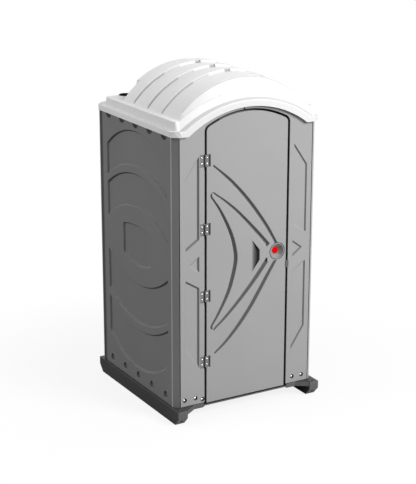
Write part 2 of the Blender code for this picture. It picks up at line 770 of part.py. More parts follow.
def front_bolt_places():
    """Centres of the bolts at the feet of the front panels, from left to right."""
    reach = PANEL_OUTER - POST_LAP - GAP_HALF
    return [(-GAP_HALF - LEFT_POST_BOLT_SHARE * reach, FRONT_BOLT_HEIGHT),
            (-GAP_HALF - LEFT_GAP_BOLT_SHARE * reach, FRONT_BOLT_HEIGHT),
            (-GAP_HALF - INNER_BOLT_SHARE * reach, INNER_BOLT_HEIGHT),
            (GAP_HALF + RIGHT_GAP_BOLT_SHARE * reach, FRONT_BOLT_HEIGHT),
            (GAP_HALF + RIGHT_POST_BOLT_SHARE * reach, FRONT_BOLT_HEIGHT)]


def make_front_panel(name, side):
    seam = FRONT_SEAM_X + side * GAP
    outer = side * PANEL_OUTER
    edge = opening_path(GAP_SIDE, side, seam)
    steps = ARC_STEPS * 2
    tops = [seam + (side * HEADER_HALF_SPAN - seam) * i / steps for i in range(steps + 1)]
    crest = [(x, bulge(x, HEADER_CROWN, HEADER_HALF_SPAN, HEADER_FLAT)) for x in tops]
    mesh = bmesh.new()
    add_front_slab(mesh, edge + crest + [(outer, HEADER_FLAT), (outer, 0)], 0, SHEET)
    panel = piece(name, mesh, FRONT_GREY)

    profile = [(GAP_SIDE, SHEET / 2), (GAP_SIDE + JAMB_SHEET, SHEET / 2), (GAP_SIDE + JAMB_SHEET, JAMB_DEPTH),
               (GAP_SIDE - STOP_WIDTH, JAMB_DEPTH), (GAP_SIDE - STOP_WIDTH, JAMB_DEPTH - STOP_SHEET),
               (GAP_SIDE, JAMB_DEPTH - STOP_SHEET)]
    paths = [opening_path(offset, side, seam) for offset, depth in profile]
    rings = []
    for i in range(len(edge)):
        rings.append([front_place(*path[i], depth) for path, (offset, depth) in zip(paths, profile)])
    jamb = bmesh.new()
    add_stack(jamb, rings)
    join(panel, jamb)

    backs = bmesh.new()
    hollows = bmesh.new()
    for share_points in FRONT_FIELD_SHARES:
        reach = PANEL_OUTER - POST_LAP - FIELD_MARGIN - FRONT_FIELD_INNER
        outline = [(side * (FRONT_FIELD_INNER + a * reach), b * WALL_HEIGHT) for a, b in share_points]
        add_field_back(backs, outline, front_place, FRONT_FIELD_DEPTH, FRONT_FIELD_SLOPE)
        add_field(hollows, outline, front_place, FRONT_FIELD_DEPTH, FRONT_FIELD_SLOPE)
    jamb_back = OPENING_X + side * (GAP_HALF + GAP_SIDE + JAMB_SHEET / 2)
    rail_end = outer - side * (POST_LAP + RAIL_END)
    rail = [(jamb_back, 0), (rail_end, 0), (rail_end, FRONT_RAIL_HEIGHT), (jamb_back, FRONT_RAIL_HEIGHT)]
    add_front_slab(backs, rail, SHEET / 2, RAIL_SHEET)
    join(panel, backs)
    if side < 0:
        blocks = bmesh.new()
        half = HINGE_HALF + HINGE_POCKET_MARGIN * 2
        block_left = POCKET_LEFT - HINGE_POCKET_MARGIN
        for height in HINGE_HEIGHTS:
            block = [(block_left, height - half), (jamb_back, height - half),
                     (jamb_back, height + half), (block_left, height + half)]
            add_front_slab(blocks, block, SHEET / 2, HINGE_BLOCK)
        join(panel, blocks)
    cut(panel, hollows)
    if side < 0:
        pockets = bmesh.new()
        hinge_pocket(pockets, POCKET_LEFT, OPENING_X - GAP_HALF, 0, 0)
        cut(panel, pockets)
    for x, height in front_bolt_places():
        if x * side > 0:
            hole = BOLT_RADIUS + GAP
            profile = [(0, -CUT), (BOLT_DISH_RADIUS, -CUT), (BOLT_DISH_RADIUS, BOLT_DISH_DEPTH),
                       (hole, BOLT_DISH_DEPTH), (hole, RAIL_SHEET + CUT), (0, RAIL_SHEET + CUT)]
            dish = bmesh.new()
            add_turned(dish, profile, front_place(x, height, 0), (0, 1, 0), PIN_SIDES)
            cut(panel, dish)
    notch = bmesh.new()
    notch_low = GAP_CROWN - NOTCH_HALF
    notch_top = GAP_CROWN + NOTCH_REACH
    notch_outline = [(FRONT_SEAM_X - NOTCH_HALF, notch_low), (FRONT_SEAM_X + NOTCH_HALF, notch_low),
                     (FRONT_SEAM_X + NOTCH_HALF, notch_top), (FRONT_SEAM_X - NOTCH_HALF, notch_top)]
    add_front_slab(notch, notch_outline, -CUT, SHEET / 2)
    cut(panel, notch)
    if side < 0:
        holes = bmesh.new()
        hinge_holes(holes, -RIVET_INSET - HINGE_LEAF, -CUT, HINGE_POCKET + RIVET_LENGTH)
        cut(panel, holes)


def make_front_bolt(number, x, height):
    seat = BOLT_DISH_DEPTH - GAP
    crown = seat - BOLT_HEAD_HEIGHT
    profile = [(0, crown), (BOLT_HEAD_RADIUS / 2, crown + BOLT_HEAD_HEIGHT / 6),
               (BOLT_HEAD_RADIUS, seat - BOLT_HEAD_HEIGHT / 4), (BOLT_HEAD_RADIUS, seat),
               (BOLT_RADIUS, seat), (BOLT_RADIUS, RAIL_SHEET), (0, RAIL_SHEET)]
    mesh = bmesh.new()
    add_turned(mesh, profile, front_place(x, height, 0), (0, 1, 0), PIN_SIDES)
    piece(f"front_bolt_{number}", mesh, STEEL, shade_round=True)


# Door

HINGE_AXIS_DEPTH = HINGE_POCKET - GAP - HINGE_KNUCKLE
DOOR_PIVOT = pivot("door_axis", front_place(HINGE_X, 0, HINGE_AXIS_DEPTH))


def groove_shape(share_points, share_widths):
    """Points, right-hand normals and widths along a groove."""
    points = [(OPENING_X + a * GAP_HALF, b * GAP_CROWN) for a, b in share_points]
    line = [Vector(point) for point in arc_through(*points, GROOVE_STEPS)]
    shape_rows = []
    first, middle, last = share_widths
    for i, point in enumerate(line):
        t = i / GROOVE_STEPS
        share = first * (1 - t) * (1 - 2 * t) + 4 * middle * t * (1 - t) + last * t * (2 * t - 1)
        run = line[min(i + 1, GROOVE_STEPS)] - line[max(i - 1, 0)]
        normal = Vector((run.y, -run.x)).normalized()
        if normal.x < 0:
            normal = -normal
        shape_rows.append((point, normal, share))
    return shape_rows


def add_groove(mesh, rows):
    """The hollow of a groove: a ramp on its left and a steep wall on its right."""
    rings = []
    for point, normal, share in rows:
        half = GROOVE_WIDTH * share / 2
        depth = GROOVE_DEPTH * share
        section = [(-half, -CUT), (-half, 0), (half - GROOVE_WALL * share, depth), (half, 0), (half, -CUT)]
        rings.append([front_place(*(point + normal * n), d) for n, d in section])
    add_stack(mesh, rings)


def add_groove_back(mesh, rows):
    """The sheet behind a groove."""
    rings = []
    for point, normal, share in rows:
        half = GROOVE_WIDTH * share / 2
        deep = DOOR_SKIN + GROOVE_DEPTH * share
        bottom = half - GROOVE_WALL * share
        section = [(-half - GROOVE_BACK, DOOR_SKIN / 2), (half + GROOVE_BACK, DOOR_SKIN / 2),
                   (bottom + GROOVE_BACK, deep), (bottom - GROOVE_BACK, deep)]
        rings.append([front_place(*(point + normal * n), d) for n, d in section])
    add_stack(mesh, rings)


def make_door():
    mesh = bmesh.new()
    add_front_slab(mesh, opening_outline(-GAP_SIDE, -DOOR_DROP), 0, DOOR_THICK)
    door = piece("door_panel", mesh, FRONT_GREY, DOOR_PIVOT)

    pockets = bmesh.new()
    rim = -GAP_SIDE - DOOR_RIM
    left = OPENING_X - GAP_HALF - rim
    right = OPENING_X + GAP_HALF + rim
    low = DOOR_RIM - DOOR_DROP
    add_front_slab(pockets, opening_outline(rim, LOCK_BLOCK_HIGH + DOOR_RIB), DOOR_SKIN, DOOR_THICK + CUT)
    add_front_slab(pockets, [(left, low), (right, low), (right, LOCK_BLOCK_LOW - DOOR_RIB),
                             (left, LOCK_BLOCK_LOW - DOOR_RIB)], DOOR_SKIN, DOOR_THICK + CUT)
    add_front_slab(pockets, [(left, LOCK_BLOCK_LOW), (LOCK_BLOCK_LEFT, LOCK_BLOCK_LOW),
                             (LOCK_BLOCK_LEFT, LOCK_BLOCK_HIGH), (left, LOCK_BLOCK_HIGH)],
                   DOOR_SKIN, DOOR_THICK + CUT)
    cut(door, pockets)

    for table in (LONG_GROOVE_SHARES, SHORT_GROOVE_SHARES):
        backs = bmesh.new()
        for share_points, share_widths in table:
            add_groove_back(backs, groove_shape(share_points, share_widths))
        join(door, backs)
    for table in (LONG_GROOVE_SHARES, SHORT_GROOVE_SHARES):
        hollows = bmesh.new()
        for share_points, share_widths in table:
            add_groove(hollows, groove_shape(share_points, share_widths))
        cut(door, hollows)

    fittings = bmesh.new()
    handle = [(OPENING_X + a * GAP_HALF, b * GAP_CROWN) for a, b in HANDLE_SHARES]
    bottom = inset(handle, HANDLE_DRAFT)
    depths = (HANDLE_LIP, HANDLE_DEPTH, HANDLE_DEPTH, HANDLE_LIP)
    rings = [[front_place(u, v, -CUT) for u, v in handle], [front_place(u, v, 0) for u, v in handle],
             [front_place(*point, depth) for point, depth in zip(bottom, depths)]]
    add_stack(fittings, rings)
    hinge_pocket(fittings, OPENING_X - GAP_HALF, HINGE_X + DOOR_LEAF_REACH + HINGE_POCKET_SLOPE + GAP,
                 0, HINGE_POCKET_SLOPE)
    cut(door, fittings)
    holes = bmesh.new()
    profile = [(0, -CUT), (LOCK_HOLE_RADIUS, -CUT), (LOCK_HOLE_RADIUS, LOCK_SEAT_DEPTH),
               (LOCK_BODY_RADIUS, LOCK_SEAT_DEPTH), (LOCK_BODY_RADIUS, DOOR_THICK + CUT),
               (0, DOOR_THICK + CUT)]
    add_turned(holes, profile, front_place(LOCK_X, LOCK_HEIGHT, 0), (0, 1, 0), ROUND_SIDES)
    hinge_holes(holes, RIVET_INSET, -CUT, HINGE_POCKET + RIVET_LENGTH)
    cut(door, holes)


def make_edge_lug():
    """A rounded lug on the door's edge that laps the frame beside the door."""
    edge = OPENING_X + GAP_HALF - GAP_SIDE
    left = edge - LUG_LAP
    right = edge + GAP_SIDE * 2 + LUG_REACH
    low = LUG_HEIGHT - LUG_HALF_HEIGHT
    high = LUG_HEIGHT + LUG_HALF_HEIGHT
    corner = LUG_CORNER
    outline = [(left + corner, low), (right - corner, low), (right, low + corner), (right, high - corner),
               (right - corner, high), (left + corner, high), (left, high - corner), (left, low + corner)]
    mesh = bmesh.new()
    add_front_slab(mesh, outline, -GAP - LUG_THICK, -GAP)
    piece("door_edge_lug", mesh, FRONT_GREY, DOOR_PIVOT)


# Hinges


def add_rivets(mesh, reach, height):
    """The two rivets of a leaf, through it and into the panel behind."""
    seat = HINGE_POCKET - GAP - HINGE_LEAF
    end = HINGE_POCKET + RIVET_LENGTH - GAP
    profile = [(0, seat - RIVET_HEAD_HEIGHT), (RIVET_HEAD_RADIUS / 2, seat - RIVET_HEAD_HEIGHT),
               (RIVET_HEAD_RADIUS, seat), (RIVET_HEAD_RADIUS, seat + HINGE_LEAF / 2),
               (RIVET_RADIUS, seat + HINGE_LEAF / 2), (RIVET_RADIUS, end), (0, end)]
    for spread in (-RIVET_SPREAD, RIVET_SPREAD):
        add_turned(mesh, profile, front_place(HINGE_X + reach, height + spread, 0), (0, 1, 0), PIN_SIDES)


def make_hinge(number, height):
    """One hinge: a leaf on the frame with two barrels, a leaf on the door with one, and the pin."""
    back = HINGE_POCKET - GAP
    front = back - HINGE_LEAF
    bore = HINGE_PIN_RADIUS + HINGE_PIN_CLEARANCE
    end_low = HINGE_MIDDLE_HALF + GAP
    low = height - HINGE_HALF
    high = height + HINGE_HALF
    centre = front_place(HINGE_X, height, HINGE_AXIS_DEPTH)

    def slab(mesh, left, right, bottom, top, extra=0):
        outline = [(left, bottom), (right, bottom), (right, top), (left, top)]
        add_front_slab(mesh, outline, front - extra, back + extra)

    mesh = bmesh.new()
    slab(mesh, HINGE_X - FRAME_LEAF_REACH, HINGE_X, low, high)
    frame_leaf = piece(f"hinge_{number}_frame_leaf", mesh, FRONT_GREY)
    added = bmesh.new()
    for end in (-1, 1):
        add_rod(added, centre, (0, 0, end), HINGE_KNUCKLE, end_low, HINGE_HALF, PIN_SIDES)
    add_rivets(added, -RIVET_INSET - HINGE_LEAF, height)
    join(frame_leaf, added)
    window = bmesh.new()
    slab(window, HINGE_X - HINGE_KNUCKLE - GAP, HINGE_X + CUT, height - end_low, height + end_low, CUT)
    cut(frame_leaf, window)
    hole = bmesh.new()
    add_rod(hole, centre, (0, 0, 1), bore, -HINGE_HALF - CUT, HINGE_HALF + CUT, PIN_SIDES)
    cut(frame_leaf, hole)

    mesh = bmesh.new()
    slab(mesh, HINGE_X, HINGE_X + DOOR_LEAF_REACH, low, high)
    door_leaf = piece(f"hinge_{number}_door_leaf", mesh, FRONT_GREY, DOOR_PIVOT)
    added = bmesh.new()
    add_rod(added, centre, (0, 0, 1), HINGE_KNUCKLE, -HINGE_MIDDLE_HALF, HINGE_MIDDLE_HALF, PIN_SIDES)
    add_rivets(added, RIVET_INSET, height)
    join(door_leaf, added)
    windows = bmesh.new()
    for bottom, top in ((low - CUT, height - HINGE_MIDDLE_HALF), (height + HINGE_MIDDLE_HALF, high + CUT)):
        slab(windows, HINGE_X - CUT, HINGE_X + HINGE_KNUCKLE + GAP, bottom, top, CUT)
    cut(door_leaf, windows)
    hole = bmesh.new()
    add_rod(hole, centre, (0, 0, 1), bore, -HINGE_HALF, HINGE_HALF, PIN_SIDES)
    cut(door_leaf, hole)

    mesh = bmesh.new()
    add_rod(mesh, centre, (0, 0, 1), HINGE_PIN_RADIUS, -HINGE_HALF, HINGE_HALF, PIN_SIDES)
    piece(f"hinge_{number}_pin", mesh, STEEL)


# Lock


def make_lock():
    centre = front_place(LOCK_X, LOCK_HEIGHT, 0)
    lock_pivot = pivot("lock_axis", centre, DOOR_PIVOT)
    floor_back = LOCK_FLOOR_DEPTH + LOCK_WALL
    seat = LOCK_SEAT_DEPTH - GAP
    hole = SPINDLE_RADIUS + GAP
    hub = LOCK_THROAT_RADIUS + LOCK_WALL
    waist = (LOCK_LEDGE_RADIUS + LOCK_THROAT_RADIUS) / 2
    neck = LOCK_HOLE_RADIUS - GAP
    bowl = [(LOCK_RIM_RADIUS, 0), (LOCK_STEP_RADIUS, LOCK_STEP_DEPTH), (LOCK_LEDGE_RADIUS, LOCK_STEP_DEPTH),
            (LOCK_THROAT_RADIUS, LOCK_THROAT_DEPTH), (LOCK_THROAT_RADIUS, LOCK_FLOOR_DEPTH),
            (hole, LOCK_FLOOR_DEPTH), (hole, floor_back), (hub, floor_back), (waist, DOOR_BACK),
            (LOCK_BODY_RADIUS - GAP, DOOR_BACK), (LOCK_BODY_RADIUS - GAP, seat), (neck, seat), (neck, 0)]
    mesh = bmesh.new()
    add_turned(mesh, bowl, centre, (0, 1, 0), ROUND_SIDES)
    piece("lock_bowl", mesh, FRONT_GREY, DOOR_PIVOT, shade_round=True)

    disc_front = LOCK_THROAT_DEPTH
    disc_back = disc_front + DISC_THICK
    mesh = bmesh.new()
    add_rod(mesh, centre, (0, 1, 0), DISC_RADIUS, disc_front, disc_back, ROUND_SIDES)
    piece("occupancy_disc", mesh, SIGNAL_RED, lock_pivot, shade_round=True)

    tongue_front = JAMB_DEPTH + GAP + KEEPER_THICK + TONGUE_GAP
    tongue_back = tongue_front + TONGUE_THICK
    knob_front = tongue_back + GAP
    knob_back = knob_front + KNOB_THICK
    mesh = bmesh.new()
    add_rod(mesh, centre, (0, 1, 0), SPINDLE_RADIUS, disc_back + GAP, knob_back - KNOB_GRIP, PIN_SIDES)
    piece("lock_spindle", mesh, STEEL, lock_pivot, shade_round=True)

    half = TONGUE_WIDTH / 2
    foot = arc((0, 0), half, -math.pi, 0, ARC_STEPS)
    outline = foot + [(half, TONGUE_LENGTH), (-half, TONGUE_LENGTH)]
    mesh = bmesh.new()
    add_front_slab(mesh, [(LOCK_X + u, LOCK_HEIGHT + v) for u, v in outline], tongue_front, tongue_back)
    tongue = piece("lock_tongue", mesh, STEEL, lock_pivot)
    bore = bmesh.new()
    add_rod(bore, centre, (0, 1, 0), hole, tongue_front - CUT, tongue_back + CUT, PIN_SIDES)
    cut(tongue, bore)

    mesh = bmesh.new()
    add_rod(mesh, centre, (0, 1, 0), KNOB_RADIUS, knob_front, knob_back - KNOB_GRIP + KNOB_GRIP_THICK / 2,
            ROUND_SIDES)
    knob = piece("inner_knob", mesh, BASE_BLACK, lock_pivot, shade_round=True)
    grip = bmesh.new()
    wing = KNOB_RADIUS - KNOB_GRIP_THICK / 2
    rim = KNOB_GRIP_THICK / 2
    outline = [(-rim, -wing), (rim, -wing), (rim, wing), (-rim, wing)]
    add_front_slab(grip, [(LOCK_X + u, LOCK_HEIGHT + v) for u, v in outline], knob_front + rim / 2, knob_back)
    join(knob, grip)
    bore = bmesh.new()
    add_rod(bore, centre, (0, 1, 0), hole, knob_front - CUT, knob_back - KNOB_GRIP + GAP, PIN_SIDES)
    cut(knob, bore)

    edge = OPENING_X + GAP_HALF + GAP_SIDE - STOP_WIDTH + KEEPER_SETBACK
    mesh = bmesh.new()
    low = LOCK_HEIGHT - KEEPER_HALF_HEIGHT
    high = LOCK_HEIGHT + KEEPER_HALF_HEIGHT
    outline = [(edge, low), (edge + KEEPER_WIDTH, low), (edge + KEEPER_WIDTH, high), (edge, high)]
    add_front_slab(mesh, outline, JAMB_DEPTH + GAP, JAMB_DEPTH + GAP + KEEPER_THICK)
    piece("lock_keeper", mesh, STEEL)


# Roof

PIPE_Y = REAR_Y - PIPE_BACK


def roof_rings(sheet):
    """The roof's outer bands from its lower edge inwards, each one ring of the grid below.

    A ring is its plan (half width, front and rear overhang, corner chamfer) and its arch (flat level,
    crown, half span). The sheet moves it inwards and down, for the roof's underside.
    """
    fascia = (SIDE_X + SIDE_OVERHANG, ROOF_FRONT_OVERHANG, REAR_OVERHANG, FASCIA_CORNER)
    ledge = (fascia[0] - LEDGE_WIDTH, fascia[1] - LEDGE_WIDTH, fascia[2] - LEDGE_WIDTH, LEDGE_CORNER)
    band = (ledge[0] - BAND_DRAFT, ledge[1] - BAND_FRONT_DRAFT, ledge[2] - BAND_DRAFT, LEDGE_CORNER)
    shoulder = (band[0] - SHOULDER_WIDTH, band[1] - SHOULDER_WIDTH, band[2] - SHOULDER_WIDTH, LEDGE_CORNER)
    rings = [
        (fascia, FASCIA_LOW, FASCIA_LOW_RISE, FASCIA_LOW_INSET),
        (fascia, LEDGE_HEIGHT - sheet, FASCIA_RISE, FASCIA_INSET),
        (ledge, LEDGE_HEIGHT - sheet, LEDGE_RISE, LEDGE_INSET),
        (band, DECK_HEIGHT - sheet, BAND_RISE, BAND_INSET),
        (shoulder, DECK_HEIGHT - sheet, BAND_RISE, VAULT_INSET),
    ]
    corner_loss = sheet * (2 - math.sqrt(2))
    return [((half - sheet, front - sheet, rear - sheet, corner - corner_loss), flat, flat + rise, SIDE_X - foot)
            for (half, front, rear, corner), flat, rise, foot in rings]


def vault_columns():
    radius = (VAULT_SPAN ** 2 + VAULT_RISE ** 2) / (2 * VAULT_RISE)
    foot = math.asin(VAULT_SPAN / radius)
    return [radius * math.sin(foot * i / VAULT_COLUMNS) for i in range(-VAULT_COLUMNS, VAULT_COLUMNS + 1)]


def vault_rows(sheet):
    """Stations along the vault as (y, height over the vault's circle, whether the flanks reach it)."""
    front = FRONT_Y + VAULT_FRONT + sheet
    rows = [(front, 0, True)]
    for rib in range(1, RIB_COUNT + 1):
        wall = front + VAULT_PITCH * rib
        rows += [(wall, 0, True), (wall + RIB_RISE, RIB_HEIGHT, True),
                 (wall + VAULT_PITCH / 2, RIB_HEIGHT, True)]
    end = front + VAULT_PITCH * (RIB_COUNT + 1) - sheet * 2
    flank = end - VAULT_FLANK_BACK
    slope = RIB_HEIGHT * 2 / VAULT_PITCH
    rows.append((flank, slope * VAULT_FLANK_BACK, True))
    rows.append((flank + VAULT_TAIL, slope * (VAULT_FLANK_BACK - VAULT_TAIL), False))
    rows.append((end, 0, False))
    rows.append((end + VAULT_TAIL, None, False))
    return rows


def ring_point(ring, depth, column, row, columns, rows, last_column, last_row, bands):
    """A grid point on one of the roof's bands, with the corner cut across by a chamfer."""
    (half, front, rear, corner), flat, crown, span = ring
    front_y = FRONT_Y - front
    rear_y = REAR_Y + rear
    steps = bands - depth - 1
    if row in (depth, last_row - depth):
        at_front = row == depth
        y = front_y if at_front else rear_y
        scale = span / VAULT_SPAN if at_front else 1
        side = -1 if column < last_column / 2 else 1
        from_side = min(column, last_column - column)
        if from_side == depth:
            x = side * (half - corner / 2)
            y += corner / 2 if at_front else -corner / 2
        elif from_side < bands:
            share = (from_side - depth - 1) / steps
            x = side * (half - corner + (VAULT_SPAN * scale - half + corner) * share)
        else:
            x = columns[column - bands] * scale
        return x, y, BASE_Z + (bulge(x, crown, span, flat) if at_front else flat)
    x = -half if column == depth else half
    if row < bands:
        start = front_y + corner
        y = start + (rows[0][0] - start) * (row - depth - 1) / steps
    elif row > last_row - bands:
        start = rear_y - corner
        y = start + (rows[-1][0] - start) * (last_row - row - depth - 1) / steps
    else:
        y = rows[row - bands][0]
    return x, y, BASE_Z + flat


def roof_surface(mesh, sheet):
    """Points of the roof's outer surface, or of its underside one sheet below, by column and row."""
    rings = roof_rings(sheet)
    bands = len(rings)
    columns = vault_columns()
    rows = vault_rows(sheet)
    last_column = len(columns) + 2 * bands - 1
    last_row = len(rows) + 2 * bands - 1
    deck = DECK_HEIGHT - sheet
    shoulder_x = columns[VAULT_COLUMNS + VAULT_SHOULDER_COLUMN] + GAP
    grid = {}
    for column in range(last_column + 1):
        for row in range(last_row + 1):
            depth = min(column, row, last_column - column, last_row - row)
            if depth < bands:
                point = ring_point(rings[depth], depth, column, row, columns, rows, last_column,
                                   last_row, bands)
            else:
                x = columns[column - bands]
                y, lift, flank_reaches = rows[row - bands]
                height = deck
                on_vault = abs(x) <= shoulder_x or flank_reaches
                if lift is not None and on_vault and abs(x) < VAULT_SPAN - GAP:
                    height = bulge(x, VAULT_CROWN - sheet, VAULT_SPAN, deck) + lift
                point = (x, y, BASE_Z + height)
            grid[column, row] = mesh.verts.new(point)
    return grid, last_column, last_row


def make_roof():
    mesh = bmesh.new()
    outer, last_column, last_row = roof_surface(mesh, 0)
    under, last_column, last_row = roof_surface(mesh, ROOF_SHEET)
    for grid in (outer, under):
        for column in range(last_column):
            for row in range(last_row):
                mesh.faces.new((grid[column, row], grid[column + 1, row], grid[column + 1, row + 1],
                                grid[column, row + 1]))
    edge = [(column, 0) for column in range(last_column)]
    edge += [(last_column, row) for row in range(last_row)]
    edge += [(column, last_row) for column in range(last_column, 0, -1)]
    edge += [(0, row) for row in range(last_row, 0, -1)]
    for here, there in zip(edge, edge[1:] + edge[:1]):
        mesh.faces.new((outer[here], outer[there], under[there], under[here]))
    roof = piece("roof_shell", mesh, ROOF_WHITE, shade_round=True)

    deck = BASE_Z + DECK_HEIGHT
    collar = bmesh.new()
    profile = [(0, -ROOF_SHEET / 2), (COLLAR_FOOT, -ROOF_SHEET / 2), (COLLAR_FOOT, 0),
               (COLLAR_HEAD, COLLAR_HEIGHT),
               (0, COLLAR_HEIGHT)]
    add_turned(collar, profile, (PIPE_X, PIPE_Y, deck), (0, 0, 1), ROUND_SIDES)
    join(roof, collar)
    holes = bmesh.new()
    add_rod(holes, (PIPE_X, PIPE_Y, deck), (0, 0, 1), PIPE_RADIUS + GAP, -CUT * 2, COLLAR_HEIGHT + CUT,
            ROUND_SIDES)
    for rib in range(1, RIB_COUNT + 1):
        wall = FRONT_Y + VAULT_FRONT + VAULT_PITCH * rib
        low = BASE_Z + VAULT_CROWN
        near, far = wall - SLOT_DEPTH / 2, wall + SLOT_DEPTH
        add_box(holes, (-SLOT_HALF, near, low), (SLOT_HALF, far, low + SLOT_HEIGHT))
    cut(roof, holes)


def make_vent_pipe():
    low = BASE_Z + FLOOR_TOP + TANK_HEIGHT - TANK_SHEET
    high = BASE_Z + DECK_HEIGHT + PIPE_RISE
    mesh = bmesh.new()
    add_tube(mesh, (PIPE_X, PIPE_Y, 0), (0, 0, 1), PIPE_RADIUS - PIPE_SHEET, PIPE_RADIUS, low, high,
             ROUND_SIDES)
    piece("vent_pipe", mesh, BASE_BLACK, shade_round=True)


# Waste tank, seat and lid

TANK_REAR_Y = REAR_Y - TANK_REAR_GAP
TANK_FRONT_Y = TANK_REAR_Y - TANK_DEPTH
TANK_LOW = BASE_Z + FLOOR_TOP
TANK_TOP = TANK_LOW + TANK_HEIGHT
SEAT_FRONT_Y = TANK_FRONT_Y + SEAT_SETBACK
SEAT_REAR_Y = SEAT_FRONT_Y + SEAT_LENGTH
SEAT_LOW = TANK_TOP + GAP
SEAT_TOP = SEAT_LOW + SEAT_THICK
SEAT_PIN = (0, SEAT_REAR_Y + SEAT_PIN_BEHIND, TANK_TOP + SEAT_PIN_RISE)
DRAIN_X = SIDE_X - FIELD_BACK - DRAIN_OUT
DRAIN_Y = REAR_Y - URINAL_BACK


def tank_plan(margin):
    half = SIDE_X - TANK_SIDE_GAP - margin
    front = TANK_FRONT_Y + margin
    rear = TANK_REAR_Y - margin
    corner = TANK_CORNER
    return [(corner - half, front), (half - corner, front), (half, front + corner), (half, rear - corner),
            (half - corner, rear), (corner - half, rear), (-half, rear - corner), (-half, front + corner)]


def oval(half_width, front, rear, sides):
    middle = (front + rear) / 2
    length = (rear - front) / 2
    angles = [math.tau * i / sides for i in range(sides)]
    return [(half_width * math.cos(a), middle + length * math.sin(a)) for a in angles]


def seat_outline():
    """Plan of the seat and the lid: a round front and a straight rear with round corners."""
    middle = SEAT_FRONT_Y + SEAT_HALF_WIDTH
    corner = SEAT_CORNER
    corner_y = SEAT_REAR_Y - corner
    points = arc((0, middle), SEAT_HALF_WIDTH, math.pi, math.tau, ARC_STEPS * 2)
    points += arc((SEAT_HALF_WIDTH - corner, corner_y), corner, 0, math.pi / 2, ARC_STEPS // 2)
    points += arc((corner - SEAT_HALF_WIDTH, corner_y), corner, math.pi / 2, math.pi, ARC_STEPS // 2)
    return points


def make_tank():
    mesh = bmesh.new()
    add_upright(mesh, tank_plan(0), TANK_LOW, TANK_TOP)
    tank = piece("waste_tank", mesh, BASE_BLACK)
    hollow = bmesh.new()
    add_upright(hollow, tank_plan(TANK_SHEET), TANK_LOW + TANK_SHEET, TANK_TOP - TANK_SHEET)
    cut(tank, hollow)
    holes = bmesh.new()
    low = -TANK_SHEET - CUT
    add_rod(holes, (PIPE_X, PIPE_Y, TANK_TOP), (0, 0, 1), PIPE_RADIUS + GAP, low, CUT, ROUND_SIDES)
    add_rod(holes, (DRAIN_X, DRAIN_Y, TANK_TOP), (0, 0, 1), DRAIN_RADIUS + GAP, low, CUT, PIN_SIDES)
    front = TANK_FRONT_Y + SEAT_OPENING_SETBACK
    hole = oval(SEAT_OPENING_HALF, front, front + SEAT_OPENING_LENGTH, ROUND_SIDES)
    add_upright(holes, hole, TANK_TOP + low, TANK_TOP + CUT)
    cut(tank, holes)


def eye_outline(arm, arm_low, arm_high):
    """Side view of a hinge lug as (backwards, up) points from the pin's centre.

    Its arm keeps to the plate's own height from just behind the plate's rear edge.
    """
    eye = arc((0, 0), SEAT_EYE, math.pi / 2, -math.pi / 2, ARC_STEPS)
    neck = SEAT_PIN_BEHIND - LUG_SPACING
    return eye + [(-neck, arm_low), (-arm, arm_low), (-arm, arm_high), (-neck, arm_high)]


